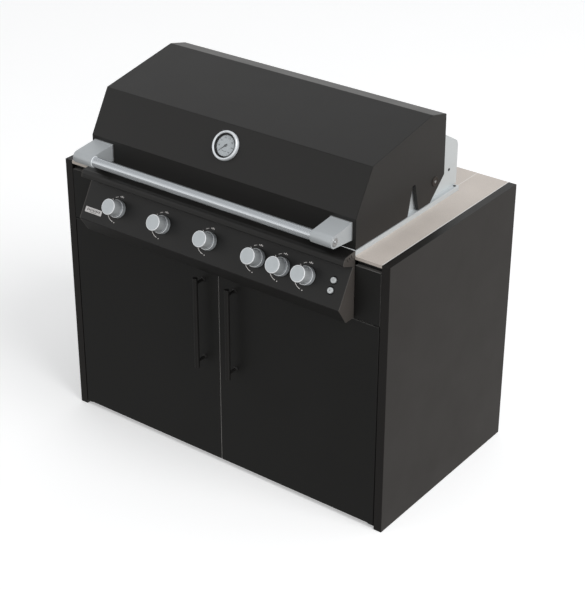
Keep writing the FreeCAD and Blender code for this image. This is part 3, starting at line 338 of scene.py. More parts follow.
def piece(name, bm, mat, body, stands_for=(), bevel=0.0, segments=2, angle=35.0, smooth=True,
          also=None):
    """Makes an object of a bmesh given in the row frame, in mm from the cabinet's front plane or in metres already."""
    bmesh.ops.remove_doubles(bm, verts=bm.verts, dist=1e-6)
    bmesh.ops.recalc_face_normals(bm, faces=bm.faces)
    mesh = bpy.data.meshes.new(name)
    bm.to_mesh(mesh)
    bm.free()
    mesh.polygons.foreach_set("use_smooth", [smooth] * len(mesh.polygons))
    mesh.materials.append(MAT[mat])
    if also:
        mesh.materials.append(MAT[also[0]])
        for f in mesh.polygons:
            f.material_index = 1 if also[1](f.center) else 0
    o = bpy.data.objects.new(name, mesh)
    SCENE.collection.objects.link(o)
    if smooth:
        finish_normals(o, bevel, segments, angle)
    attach(o, body)
    if stands_for:
        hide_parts(*stands_for)
    return o


def dress(names, mat, bevel=0.6, segments=2, angle=38.0):
    """Gives CAD nodes their material, and rounds their edges for the light."""
    for name in [names] if isinstance(names, str) else names:
        o = NODES[name]
        o.data.materials.clear()
        o.data.materials.append(MAT[mat])
        if bevel is not None:
            finish_normals(o, bevel, segments, angle, weld=True)


class Place:
    """A flat working plane: origin, two directions in it, and its outward normal."""

    def __init__(self, origin, ex, ey):
        self.o, self.ex, self.ey = Vector(origin), Vector(ex).normalized(), Vector(ey).normalized()
        self.n = self.ex.cross(self.ey).normalized()

    def p(self, x, y, w=0.0):
        return self.o + self.ex * (x * MM) + self.ey * (y * MM) + self.n * (w * MM)

    def moved(self, x, y, w=0.0):
        return Place(self.p(x, y, w), self.ex, self.ey)

    def turned(self, degrees):
        a = math.radians(degrees)
        return Place(self.o, self.ex * math.cos(a) + self.ey * math.sin(a),
                     self.ey * math.cos(a) - self.ex * math.sin(a))


def lathe(bm, place, profile, segments=72, closed=False, start=0.0):
    """Turns a profile of (radius, height) round a plane's normal. A profile that ends on the axis closes itself."""
    rings = []
    for r, w in profile:
        if r < 1e-6:
            rings.append([bm.verts.new(place.p(0, 0, w))])
        else:
            rings.append([bm.verts.new(place.p(r * math.cos(start + 2 * math.pi * k / segments),
                                               r * math.sin(start + 2 * math.pi * k / segments), w))
                          for k in range(segments)])
    pairs = list(zip(rings, rings[1:]))
    if closed:
        pairs.append((rings[-1], rings[0]))
    for a, b in pairs:
        if len(a) == 1 and len(b) == 1:
            continue
        for k in range(segments):
            j = (k + 1) % segments
            if len(a) == 1:
                bm.faces.new((a[0], b[j], b[k]))
            elif len(b) == 1:
                bm.faces.new((a[k], a[j], b[0]))
            else:
                bm.faces.new((a[k], a[j], b[j], b[k]))
    return rings


def prism(bm, place, outline, low, high):
    """A straight prism of an outline in the plane, between two heights."""
    a = [bm.verts.new(place.p(x, y, low)) for x, y in outline]
    b = [bm.verts.new(place.p(x, y, high)) for x, y in outline]
    n = len(outline)
    bm.faces.new(list(reversed(a)))
    bm.faces.new(b)
    for k in range(n):
        j = (k + 1) % n
        bm.faces.new((a[k], a[j], b[j], b[k]))


def rounded(w, h, r, steps=6, cx=0.0, cy=0.0):
    pts = []
    for sx, sy, a0 in ((1, -1, -90), (1, 1, 0), (-1, 1, 90), (-1, -1, 180)):
        for k in range(steps + 1):
            a = math.radians(a0 + 90 * k / steps)
            pts.append((cx + sx * (w / 2 - r) + r * math.cos(a), cy + sy * (h / 2 - r) + r * math.sin(a)))
    return pts


def arc_band(bm, place, radius, width, a0, a1, low, high, steps=24):
    """A flat curved band; angles run clockwise from straight up."""
    inner, outer = [], []
    for k in range(steps + 1):
        a = math.radians(a0 + (a1 - a0) * k / steps)
        for r, bucket in ((radius - width / 2, inner), (radius + width / 2, outer)):
            bucket.append((r * math.sin(a), r * math.cos(a)))
    n = steps + 1
    lo_i = [bm.verts.new(place.p(x, y, low)) for x, y in inner]
    lo_o = [bm.verts.new(place.p(x, y, low)) for x, y in outer]
    hi_i = [bm.verts.new(place.p(x, y, high)) for x, y in inner]
    hi_o = [bm.verts.new(place.p(x, y, high)) for x, y in outer]
    for k in range(n - 1):
        bm.faces.new((hi_i[k], hi_i[k + 1], hi_o[k + 1], hi_o[k]))
        bm.faces.new((lo_i[k], lo_o[k], lo_o[k + 1], lo_i[k + 1]))
        bm.faces.new((hi_o[k], hi_o[k + 1], lo_o[k + 1], lo_o[k]))
        bm.faces.new((hi_i[k], lo_i[k], lo_i[k + 1], hi_i[k + 1]))
    bm.faces.new((hi_i[0], hi_o[0], lo_o[0], lo_i[0]))
    bm.faces.new((hi_i[-1], lo_i[-1], lo_o[-1], hi_o[-1]))


def socket_screw(bm, place, r=4.0, high=2.2, hexagon=1.9, depth=1.4, segments=24):
    """A domed screw head with a hexagon socket, standing on the plane."""
    def hex_ring(size, w):
        ring = []
        for k in range(segments):
            a = 2 * math.pi * k / segments
            s = (a + math.pi / 6) % (math.pi / 3) - math.pi / 6
            rr = size * math.cos(math.pi / 6) / math.cos(s)
            ring.append(bm.verts.new(place.p(rr * math.cos(a), rr * math.sin(a), w)))
        return ring

    rings = []
    for rr, w in ((r, -0.3), (r, high * 0.35), (r * 0.93, high * 0.66), (r * 0.78, high * 0.88), (r * 0.60, high)):
        rings.append([bm.verts.new(place.p(rr * math.cos(2 * math.pi * k / segments),
                                           rr * math.sin(2 * math.pi * k / segments), w)) for k in range(segments)])
    rings.append(hex_ring(hexagon, high))
    rings.append(hex_ring(hexagon * 0.97, high - depth))
    for a, b in zip(rings, rings[1:]):
        for k in range(segments):
            j = (k + 1) % segments
            bm.faces.new((a[k], a[j], b[j], b[k]))
    bm.faces.new(rings[-1])
    bm.faces.new(list(reversed(rings[0])))


def rivet(bm, place, r=3.2, high=1.3, segments=20):
    lathe(bm, place, [(0, -0.4), (r, -0.4), (r, 0.25), (r * 0.92, 0.55), (r * 0.7, high * 0.85), (r * 0.38, high),
                      (r * 0.30, high - 0.25), (0, high - 0.3)], segments)


def hex_nut(bm, place, across=8.0, high=6.0, bore=3.5, steps=24):
    outer, inner = [], []
    rings = []
    for kind, w in (("i", 0), ("o", 0), ("o", high), ("i", high)):
        ring = []
        for k in range(steps):
            a = 2 * math.pi * k / steps
            s = (a + math.pi / 6) % (math.pi / 3) - math.pi / 6
            rr = across / math.cos(s) if kind == "o" else bore
            ring.append(bm.verts.new(place.p(rr * math.cos(a), rr * math.sin(a), w)))
        rings.append(ring)
    for a, b in zip(rings, rings[1:] + rings[:1]):
        for k in range(steps):
            j = (k + 1) % steps
            bm.faces.new((a[k], a[j], b[j], b[k]))


def round_bar(bm, points, r, segments=16, caps=True):
    """A round wire through points, mitred at its corners."""
    pts = [Vector(p) for p in points]
    rings = []
    prev = None
    for i, p in enumerate(pts):
        if i == 0:
            t = (pts[1] - p).normalized()
        elif i == len(pts) - 1:
            t = (p - pts[i - 1]).normalized()
        else:
            t = ((pts[i + 1] - p).normalized() + (p - pts[i - 1]).normalized()).normalized()
        if prev is None:
            side = t.orthogonal().normalized()
        else:
            side = (prev - t * prev.dot(t)).normalized()
        prev = side
        up = t.cross(side)
        rings.append([bm.verts.new(p + side * (r * MM * math.cos(2 * math.pi * k / segments))
                                   + up * (r * MM * math.sin(2 * math.pi * k / segments))) for k in range(segments)])
    for a, b in zip(rings, rings[1:]):
        for k in range(segments):
            j = (k + 1) % segments
            bm.faces.new((a[k], a[j], b[j], b[k]))
    if caps:
        bm.faces.new(list(reversed(rings[0])))
        bm.faces.new(rings[-1])


def lettering(name, items, place, mat, body, high=0.1):
    """Plain figures as thin raised print: items are (text, x, y, size, turn)."""
    bm = bmesh.new()
    dg = bpy.context.evaluated_depsgraph_get()
    for k, (text, x, y, size, turn) in enumerate(items):
        cu = bpy.data.curves.new("tmp_text", "FONT")
        cu.body = text
        cu.size = size * MM
        cu.align_x, cu.align_y = "CENTER", "CENTER"
        cu.extrude = high * MM / 2
        cu.resolution_u = 3
        ob = bpy.data.objects.new("tmp_text", cu)
        SCENE.collection.objects.link(ob)
        bpy.context.view_layer.update()
        me = bpy.data.meshes.new_from_object(ob)
        bpy.data.objects.remove(ob)
        bpy.data.curves.remove(cu)
        pl = place.moved(x, y, high / 2).turned(turn)
        me.transform(Matrix((
            (pl.ex.x, pl.ey.x, pl.n.x, pl.o.x),
            (pl.ex.y, pl.ey.y, pl.n.y, pl.o.y),
            (pl.ex.z, pl.ey.z, pl.n.z, pl.o.z),
            (0, 0, 0, 1))))
        bm.from_mesh(me)
        bpy.data.meshes.remove(me)
    return piece(name, bm, mat, body, smooth=False)


def centre(node):
    lo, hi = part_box(node)
    return (lo + hi) / 2


# ----------------------------------------------------------- working planes
PANEL_UP, PANEL_N = Vector((0, 0.5, 0.8660254)), Vector((0, -0.8660254, 0.5))
SLOPE_UP, SLOPE_N = Vector((0, 0.504528, 0.863396)), Vector((0, -0.863396, 0.504528))
PANEL = Place(at(0, -7, 870), (1, 0, 0), PANEL_UP)
JOINTS = {j["name"]: j for j in frame["joints"]}
KNOBS = [Place(Vector(JOINTS["knob_%d_turn" % k]["pos_m"]), (1, 0, 0), PANEL_UP) for k in range(1, 7)]
GAUGE = Place(centre("thermometer_glass") - SLOPE_N * (9.25 * MM), (1, 0, 0), SLOPE_UP)

# ------------------------------------------------------ CAD nodes, dressed
dress(["door_panel_left", "door_panel_right", "fascia_panels"], "board", 0.7)
# the side panels take the browner, glossier laminate copy: painted light
dress(["side_panel_left", "side_panel_right"], "board_lit_side_copy", 1.0, 3)
dress(["back_panel", "base_panel"], "board", 0.7)
dress(["worktop_left", "worktop_right", "worktop_rear"], "stone", 0.8, 3)
dress(["lid_skin"], "lid", 1.5, 4, 12)
dress(["lid_cheek_left", "lid_cheek_right"], "lid", 0.5)
dress(["lid_liner"], "inner", 0.3)
dress(["control_rail"], "panel", 0.6, 3)
dress(["control_panel"], "panel", None)  # a folded sheet: its edges stay crisp
dress(["panel_end_caps"], "end_cap", 0.5)
dress(["lid_handle_posts"], "post", 1.8, 4)
dress(["grill_rim"], "steel_x", 0.8, 3)
dress(["rear_housing"], "steel_x", 0.4)
dress(["housing_side_plates"], "steel_y", 0.5)
dress(["lid_hinge_pins"], "screw", 0.5)
# the frame rails are coloured near-black as painted shade of the gap under the worktop
dress(["frame_rails"], "frame", 0.5)
dress(["door_pivots"], "frame", 0.5)
dress(["levelling_feet"], "foot", 0.8, 3)
dress(["firebox", "grease_tray"], "inner", 0.4)
dress(["main_burners"], "inner", 0.5)
dress(["flame_tamers"], "inner", 0.3)
dress(["warming_rack"], "steel_x", 0.3)
dress(["cooking_grates"], "iron", 0.9, 3)
dress(["rear_burner"], "ceramic", 0.4)
dress(["gas_manifold", "gas_valves", "gas_inlet"], "brass", 0.5)
dress(["ignition_module"], "plastic", 1.0, 3)
dress(["valve_stem_%d" % k for k in range(1, 7)], "screw", 0.3)

# ------------------------------------------------------------------- knobs
RING = 15.0  # height of a bezel
TIP = 53.0  # height of a knob's face
bm = bmesh.new()
for k, pl in enumerate(KNOBS):
    lathe(bm, pl, [(7.2, 0.05), (27.9, 0.05), (28.0, 0.6), (28.0, 2.2), (27.7, 2.8), (27.7, 4.0), (28.0, 4.6),
                   (28.0, RING - 2.2), (27.8, RING - 1.0), (27.3, RING - 0.3), (26.7, RING), (26.3, RING),
                   (26.05, RING - 0.3), (26.0, RING - 1.2), (25.6, 1.4), (25.3, 0.9), (7.2, 0.7)], 96, closed=True)


# the bezel's top faces take the near-white material: a painted highlight along the ring's top edge
def ring_top_highlight(point):
    return any(abs((point - q.o).dot(q.ex)) < 0.03 and (point - q.o).dot(q.n) > (RING - 1.3) * MM for q in KNOBS)


piece("knob_bezel_rings", bm, "bezel_side", "cabinet", ["knob_bezels"], 0.12, 1, 50,
      also=("painted_highlight_white", ring_top_highlight))

for k, pl in enumerate(KNOBS, start=1):
    bm = bmesh.new()
    lathe(bm, pl, [(4.6, 5.0), (20.5, 5.0), (24.0, 5.0), (24.5, 5.25), (24.6, 6.0), (24.6, 17.4), (24.4, 17.8),
                   (24.4, 18.5), (24.6, 18.9), (24.8, 19.4), (24.8, TIP - 2.6), (24.65, TIP - 1.9), (24.25, TIP - 1.1),
                   (23.6, TIP - 0.4), (22.9, TIP - 0.05), (22.4, TIP), (22.0, TIP - 0.1), (21.7, TIP - 0.3),
                   (21.2, TIP - 0.36), (12.0, TIP - 0.45), (0, TIP - 0.5)], 96)
    # the socket that takes the valve stem
    lathe(bm, pl, [(4.6, 5.0), (4.5, 5.4), (4.5, 35.8), (0, 36.2)], 96)

    def face_or_rim(point, q=pl):
        return (point - q.o).dot(q.n) > (TIP - 0.55) * MM and (point - q.o - q.n * (TIP * MM)).length < 0.0219

    piece("knob_body_%d" % k, bm, "knob_side", "knob_%d" % k, ["knob_%d" % k], 0.1, 1, 60,
          also=("knob_face", face_or_rim))
    # bright turned edge round the knob's face
    # near-white ring round the knob's face: a painted highlight on its edge
    bm = bmesh.new()
    lathe(bm, pl, [(24.3, TIP - 1.35), (24.55, TIP - 1.5), (24.78, TIP - 1.9), (24.8, TIP - 1.7), (24.6, TIP - 1.05),
                   (24.1, TIP - 0.35), (23.4, TIP + 0.02), (22.9, TIP + 0.06), (22.7, TIP - 0.15),
                   (23.6, TIP - 0.5)], 96, closed=True)
    piece("knob_edge_%d" % k, bm, "painted_highlight_white", "knob_%d" % k, ())
    # pointer let into the top of the knob's side
    bm = bmesh.new()
    side = Place(pl.p(0, 24.35, 0), (1, 0, 0), -pl.n)
    prism(bm, side, rounded(3.4, 15.0, 1.6, 5, 0, -25.5), -0.5, 0.55)
    piece("knob_pointer_%d" % k, bm, "dark_mark", "knob_%d" % k, (), 0.12, 2, 40)

# printed marks round each knob: an off tick, a low-to-high arc and small flames
bm = bmesh.new()
for k, pl in enumerate(KNOBS):
    m = pl.moved(0, -2.4)
    arc_band(bm, m, 40.6, 1.9, -130, -168, -0.05, 0.16, 22)
    lathe(bm, m.moved(40.9 * math.sin(math.radians(-178)), 40.9 * math.cos(math.radians(-178)) - 0.4),
          [(0, -0.05), (1.6, -0.05), (1.6, 0.16), (0, 0.16)], 18)
    arc_band(bm, m, 41.0, 1.8, -33.5, -18.5, -0.05, 0.16, 10)
    # a tick pointing at the knob's edge
    a = math.radians(-49)
    t = m.moved(40.6 * math.sin(a), 40.6 * math.cos(a)).turned(49)
    prism(bm, t, [(-1.1, -2.9), (1.1, -2.9), (1.1, 2.9), (-1.1, 2.9)], -0.05, 0.16)
    # a flame, drawn as a drop with a bent tip
    f = m.moved(0.2, 41.4).turned(-14)
    drop = []
    for i in range(20):
        s = 2 * math.pi * i / 20
        x = 1.9 * math.sin(s) * (1 - 0.35 * math.cos(s))
        y = -2.0 * math.cos(s) + (1.2 if math.cos(s) < -0.8 else 0.0)
        drop.append((x + 0.25 * y, y))
    prism(bm, f, [(x * 1.25, y * 1.25) for x, y in reversed(drop)], -0.05, 0.16)
    g = m.moved(5.4, 40.6).turned(-24)
    prism(bm, g, [(x * 0.85, y * 0.85) for x, y in reversed(drop)], -0.05, 0.16)
    g = m.moved(-5.0, 41.0).turned(4)
    prism(bm, g, [(x * 0.8, y * 0.8) for x, y in reversed(drop)], -0.05, 0.16)
piece("panel_marks", bm, "print", "cabinet", (), smooth=False)

# ------------------------------------------------------------------ buttons
for name in ("button_ignition", "button_light"):
    pl = Place(centre(name), (1, 0, 0), PANEL_UP)
    bm = bmesh.new()
    lathe(bm, pl, [(0, -6), (8.3, -6), (8.9, -5.4), (8.9, 4.6), (8.6, 5.4), (7.9, 5.9), (7.1, 6.0), (5.6, 5.85),
                   (3.0, 5.7), (0, 5.65)], 56)
    piece(name + "_cap", bm, "button", name, [name], 0.1, 1, 60)
    bm = bmesh.new()
    lathe(bm, pl, [(10.0, 0.02), (12.6, 0.02), (12.7, 0.5), (12.3, 1.2), (11.6, 1.5), (10.4, 1.5), (10.0, 1.1)],
          56, closed=True)
    piece(name + "_ring", bm, "gauge_well", "cabinet", (), 0.1, 1, 60)

# small picture marks on the buttons: a spark and a lamp
sp = Place(centre("button_ignition") + PANEL_N * (5.68 * MM), (1, 0, 0), PANEL_UP)
bm = bmesh.new()
prism(bm, sp, [(0.4, 2.6), (-1.7, -0.35), (-0.3, -0.35), (-0.6, -2.6), (1.7, 0.5), (0.2, 0.5)], -0.1, 0.08)
piece("button_spark_mark", bm, "grey_print_and_edge_highlight", "button_ignition", (), smooth=False)
lp = Place(centre("button_light") + PANEL_N * (5.68 * MM), (1, 0, 0), PANEL_UP)
bm = bmesh.new()
lathe(bm, lp.moved(0, 0.6), [(0, -0.1), (1.6, -0.1), (1.6, 0.08), (0, 0.08)], 24)
prism(bm, lp, [(-0.8, -2.4), (0.8, -2.4), (0.8, -1.4), (-0.8, -1.4)], -0.1, 0.08)
piece("button_lamp_mark", bm, "grey_print_and_edge_highlight", "button_light", (), smooth=False)

# --------------------------------------------------------------- name plate
lo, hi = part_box("badge_plate")
bc = Place((lo + hi) / 2 - PANEL_N * (0.6 * MM), (1, 0, 0), PANEL_UP)
bm = bmesh.new()
prism(bm, bc, rounded(67.5, 17.5, 1.6, 5), 0.0, 1.2)
piece("badge_blank", bm, "badge", "cabinet", ["badge_plate"], 0.3, 3, 40)
bm = bmesh.new()
for i in range(9):
    x = -24 + 6 * i
    h = 3.6 if i % 2 == 0 else 2.6
    prism(bm, bc, [(x - 2.1, -h + 1.2), (x + 0.5, -h + 1.2), (x + 2.1, h + 1.2), (x - 0.5, h + 1.2)], 1.15, 1.32)
prism(bm, bc, [(-14, -5.6), (14, -5.6), (14, -4.5), (-14, -4.5)], 1.15, 1.30)
piece("badge_pattern", bm, "dark_mark", "cabinet", (), smooth=False)

# -------------------------------------------------------------- thermometer
bm = bmesh.new()
lathe(bm, GAUGE, [(0, -70), (3.0, -70), (3.8, -69.2), (4.0, -68), (4.0, -0.2), (4.2, 0), (43.6, 0), (44.8, 0.5),
                  (45.0, 1.4), (45.0, 6.4), (44.7, 8.0), (43.9, 9.9), (42.7, 11.3), (41.3, 12.0), (40.0, 11.8),
                  (38.9, 10.9), (38.1, 10.2), (37.55, 10.1), (37.5, 9.0), (37.5, 2.05), (31, 2.0), (0, 2.0)], 112)
piece("gauge_case", bm, "bright", "lid", ["thermometer_case"], 0.12, 1, 60)
bm = bmesh.new()
lathe(bm, GAUGE, [(31.7, 2.1), (37.45, 2.1), (37.45, 8.3), (37.0, 8.3), (35.6, 5.4), (33.6, 4.3), (31.9, 4.1)],
      112, closed=True)
piece("gauge_inner_ring", bm, "gauge_well", "lid", (), 0.1, 1, 60)
bm = bmesh.new()
lathe(bm, GAUGE, [(0, 2.05), (31.3, 2.05), (31.6, 2.3), (31.6, 3.7), (31.3, 4.0), (30.9, 4.0), (0, 4.0)], 112)
lathe(bm, GAUGE, [(1.0, 3.9), (1.0, 6.7), (0.8, 6.95), (0, 7.0)], 20)
piece("gauge_dial", bm, "dial", "lid", ["thermometer_dial"], 0.08, 1, 50)
bm = bmesh.new()
for i in range(36):
    a = -135 + 270 * i / 35
    big = i % 5 == 0
    r0, r1, half = (27.6, 30.6, 0.42) if big else (29.2, 30.6, 0.22)
    t = GAUGE.turned(-a)
    prism(bm, t, [(-half, r0), (half, r0), (half, r1), (-half, r1)], 3.95, 4.08)
arc_band(bm, GAUGE, 30.8, 0.28, -135, 135, 3.95, 4.07, 72)
arc_band(bm, GAUGE, 16.8, 0.9, 150, 210, 3.95, 4.07, 24)
piece("gauge_ticks", bm, "dial_ink", "lid", (), smooth=False)
figures = []
for i in range(8):
    a = math.radians(-135 + 270 * i / 7)
    figures.append(("%d" % (50 * (i + 1)), 23.6 * math.sin(a), 23.6 * math.cos(a), 5.0, 0))
lettering("gauge_figures", figures, GAUGE.moved(0, 0, 3.98), "dial_ink", "lid", 0.1)
bm = bmesh.new()
needle = GAUGE.moved(0, 0, 5.0).turned(135)
prism(bm, needle, [(-1.5, -7.2), (1.5, -7.2), (1.15, -1.0), (0.85, 8.0), (0.22, 24.2), (-0.22, 24.2), (-0.85, 8.0),
                   (-1.15, -1.0)], 0.05, 0.65)
lathe(bm, GAUGE.moved(0, 0, 4.65), [(1.08, 0.0), (2.9, 0.0), (3.1, 0.25), (3.1, 1.1), (2.7, 1.5), (1.6, 1.6),
                                    (1.08, 1.5)], 28, closed=True)
piece("gauge_needle", bm, "dial_ink", "needle", ["thermometer_needle"], 0.06, 1, 50)
bm = bmesh.new()
lathe(bm, GAUGE, [(0, 8.9), (14, 8.8), (26, 8.6), (35.6, 8.35), (37.2, 8.5), (37.3, 9.0), (36.9, 9.35), (34, 9.6),
                  (26, 9.8), (14, 9.95), (0, 10.0)], 112)
piece("gauge_lens", bm, "glass", "lid", ["thermometer_glass"])

# --------------------------------------------------------------- lid handle
BAR = centre("lid_handle_bar")
bar_lo, bar_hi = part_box("lid_handle_bar")
left = Place(Vector((bar_lo.x, BAR.y, BAR.z)), (0, 1, 0), (0, 0, 1))  # normal along +X
bm = bmesh.new()
length = (bar_hi.x - bar_lo.x) / MM
lathe(bm, left, [(0, 0.1), (15.9, 0.1), (15.9, 14.0), (15.5, 14.5), (15.5, 16.0), (16.0, 16.5), (16.0, length - 16.5),
                 (15.5, length - 16.0), (15.5, length - 14.5), (15.9, length - 14.0), (15.9, length - 0.1),
                 (0, length - 0.1)], 72)
piece("handle_bar", bm, "bar", "lid", ["lid_handle_bar"], 0.15, 2, 50)
post_lo, post_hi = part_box("lid_handle_posts")
for tag, sx in (("left", -1), ("right", 1)):
    outer = post_hi.x if sx > 0 else post_lo.x
    inner = bar_hi.x if sx > 0 else bar_lo.x
    # collar where the bar enters its post, in near-white: a painted highlight
    face = Place(Vector((inner, BAR.y, BAR.z)), (0, 1, 0), (0, 0, 1)) if sx < 0 else \
        Place(Vector((inner, BAR.y, BAR.z)), (0, -1, 0), (0, 0, 1))
    bm = bmesh.new()
    lathe(bm, face, [(16.02, -0.2), (17.4, -0.2), (17.5, 0.4), (17.1, 0.9), (16.6, 1.1), (16.02, 1.1)], 72,
          closed=True)
    piece("handle_collar_" + tag, bm, "painted_highlight_white", "lid", (), 0.1, 1, 60)
    # cover disc with its socket screw on the post's outer face
    face = Place(Vector((outer, BAR.y, BAR.z)), (0, 1, 0), (0, 0, 1)) if sx > 0 else \
        Place(Vector((outer, BAR.y, BAR.z)), (0, -1, 0), (0, 0, 1))
    bm = bmesh.new()
    lathe(bm, face, [(0, -0.3), (13.2, -0.3), (13.4, 0.2), (13.2, 0.8), (12.4, 1.2), (8.0, 1.3), (7.6, 1.0),
                     (0, 1.0)], 64)
    piece("handle_end_disc_" + tag, bm, "steel_z", "lid", (), 0.1, 1, 60)
    bm = bmesh.new()
    socket_screw(bm, face.moved(0, 0, 1.0), 4.6, 2.0, 2.3, 1.4)
    piece("handle_end_screw_" + tag, bm, "screw", "lid", (), 0.1, 1, 50)
    # foot plate between the post and the lid
    fx = (inner + outer) / 2
    w = abs(outer - inner) / MM
    foot = Place(Vector((fx, at(0, 4, 0).y, 0.9725)), (1, 0, 0), (0, 0, 1))
    bm = bmesh.new()
    prism(bm, foot, rounded(w + 2.4, 57.5, 2.5, 5), 0.0, 5.0)
    piece("handle_foot_" + tag, bm, "steel_z", "lid", (), 0.6, 3, 40)

# --------------------------------------------------------------- lid hinges
for tag, sx in (("left", -1), ("right", 1)):
    lo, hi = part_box("lid_hinge_caps")
    x = lo.x if sx < 0 else hi.x
    c = Vector((x, (lo.y + hi.y) / 2, (lo.z + hi.z) / 2))
    face = Place(c, (0, sx, 0), (0, 0, 1))
    bm = bmesh.new()
    lathe(bm, face, [(8.1, -5.9), (15.9, -5.9), (16.0, -5.5), (15.9, -4.7), (15.3, -4.0), (14.2, -3.6), (12.6, -3.5),
                     (11.9, -3.55), (11.3, -3.9), (9.0, -4.1), (0, -4.15), (0, -5.2), (8.1, -5.2)], 64)
    piece("hinge_cap_" + tag, bm, "hinge", "lid", ["lid_hinge_caps"], 0.15, 2, 50)

# -------------------------------------------------------------- door handles
for tag, sx in (("left", -1), ("right", 1)):
    lo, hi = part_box("door_handle_" + tag)
    cx = (lo.x + hi.x) / 2
    cy = lo.y + 8 * MM
    z0, z1 = lo.z, hi.z
    axis = Place(Vector((cx, cy, z0)), (1, 0, 0), (0, 1, 0))
    high = (z1 - z0) / MM
    bm = bmesh.new()
    lathe(bm, axis, [(0, 0), (6.8, 0), (7.7, 0.5), (8.0, 1.4), (8.0, 37.0), (7.6, 37.5), (7.6, 38.7), (8.0, 39.2),
                     (8.0, high - 39.2), (7.6, high - 38.7), (7.6, high - 37.5), (8.0, high - 37.0),
                     (8.0, high - 1.4), (7.7, high - 0.5), (6.8, high), (0, high)], 56)
    for z in (374, 647):
        post = Place(Vector((cx, at(0, 0, 0).y, z * MM)), (1, 0, 0), (0, 0, 1))  # normal towards the front
        reach = (at(0, 0, 0).y - cy) / MM
        lathe(bm, post, [(0, 0.0), (8.6, 0.0), (8.7, 0.5), (8.4, 1.6), (7.4, 2.4), (5.4, 2.9), (4.7, 3.6),
                         (4.5, 5.0), (4.5, reach - 11.0), (4.8, reach - 8.6), (5.3, reach - 6.6), (5.3, reach - 2),
                         (0, reach - 2)], 40)
    piece("door_pull_" + tag, bm, "bar_black", "door_" + tag, ["door_handle_" + tag], 0.12, 2, 50)

# ------------------------------------------------- fasteners and small parts
# rear of the grill head: rivets along the housing
bm = bmesh.new()
lo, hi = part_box("rear_housing")
for x in (-440, -300, -150, 0, 150, 300, 440):
    rivet(bm, Place(Vector((x * MM, at(0, 560, 0).y, 0.929)), (-1, 0, 0), (0, 0, 1)))
piece("housing_rivets", bm, "screw", "cabinet", (), 0.08, 1, 60)

# folded lip of the rim, which shows between the rail and the lid, in near-white: a painted highlight along the rim's
# front edge
rim_lo, rim_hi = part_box("grill_rim")
bm = bmesh.new()
lip = Place(at(0, 3.0, rim_hi.z / MM), (0, 1, 0), (0, 0, 1))
prism(bm, lip.moved(0, 0, rim_lo.x / MM + 2), [(-0.9, -0.2), (0.9, -0.2), (0.9, 1.7), (0.55, 2.2), (-0.55, 2.2),
                                              (-0.9, 1.7)], 0.0, (rim_hi.x - rim_lo.x) / MM - 4)
piece("rim_front_lip_highlight", bm, "painted_highlight_white", "cabinet", (), 0.0, 1, 50)

# screws in the back panel
bm = bmesh.new()
back_lo, back_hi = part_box("back_panel")
yb = back_hi.y
for z in (90, 300, 500, 700, 870):
    for x in (-575, 575):
        socket_screw(bm, Place(Vector((x * MM, yb, z * MM)), (-1, 0, 0), (0, 0, 1)), 5.0, 1.6, 2.2, 1.1)
for x in (-380, -190, 0, 190, 380):
    for z in (72, 880):
        socket_screw(bm, Place(Vector((x * MM, yb, z * MM)), (-1, 0, 0), (0, 0, 1)), 5.0, 1.6, 2.2, 1.1)
piece("back_panel_screws", bm, "screw_black", "cabinet", (), 0.1, 1, 50)

# nuts that lock the levelling feet
bm = bmesh.new()
for x in (-540, 0, 540):
    for y in (70, 620):
        hex_nut(bm, Place(at(x, y, 9), (1, 0, 0), (0, 1, 0)), 11.0, 7.0, 7.3)
piece("foot_nuts", bm, "screw", "cabinet", (), 0.4, 2, 40)

# dark screws in the housing's side plates and at the rim's corners
bm = bmesh.new()
plate_lo, plate_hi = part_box("housing_side_plates")
for sx in (-1, 1):
    x = plate_lo.x if sx < 0 else plate_hi.x
    socket_screw(bm, Place(Vector((x, at(0, 514, 0).y, 0.975)), (0, sx, 0), (0, 0, 1)), 4.6, 1.5, 2.3, 1.2)
    socket_screw(bm, Place(Vector((sx * 0.487, at(0, 537, 0).y, rim_hi.z)), (1, 0, 0), (0, 1, 0)), 4.8, 1.6, 2.3, 1.2)
piece("plate_screws", bm, "screw_black", "cabinet", (), 0.1, 1, 50)

# pale beads along the worktop's joints: painted highlights of the joint edges
bm = bmesh.new()
bead = [(-1.25, -0.6), (1.25, -0.6), (1.25, 0.1), (0.85, 0.42), (0.0, 0.55), (-0.85, 0.42), (-1.25, 0.1)]
wt_lo, wt_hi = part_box("worktop_right")
side_lo, side_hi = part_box("side_panel_right")
for sx in (-1, 1):
    run = Place(Vector((sx * side_lo.x - sx * 0.0002, at(0, 2, 0).y, wt_hi.z)), (-1, 0, 0), (0, 0, 1))
    prism(bm, run, bead, 0.0, 686.0)
    joint = Place(Vector((sx * wt_lo.x if sx < 0 else wt_lo.x, at(0, 552, 0).y, wt_hi.z)), (-1, 0, 0), (0, 0, 1))
    prism(bm, joint, [(x * 0.6, y * 0.7) for x, y in bead], 0.0, 137.0)
piece("worktop_joint_highlights", bm, "pale_joint_highlight", "cabinet", (), 0.0, 1, 50)

# thin pale strips in the gaps between the boards: painted highlights of the boards' edges
def band(name, body, box, mat="grey_print_and_edge_highlight"):
    (x0, y0, z0), (x1, y1, z1) = box
    b = bmesh.new()
    base = Place(at(x0, y0, z0), (1, 0, 0), (0, 1, 0))
    prism(b, base, [(0, 0), (x1 - x0, 0), (x1 - x0, y1 - y0), (0, y1 - y0)], 0.0, z1 - z0)
    return piece(name, b, mat, body, (), 0.08, 1, 40)


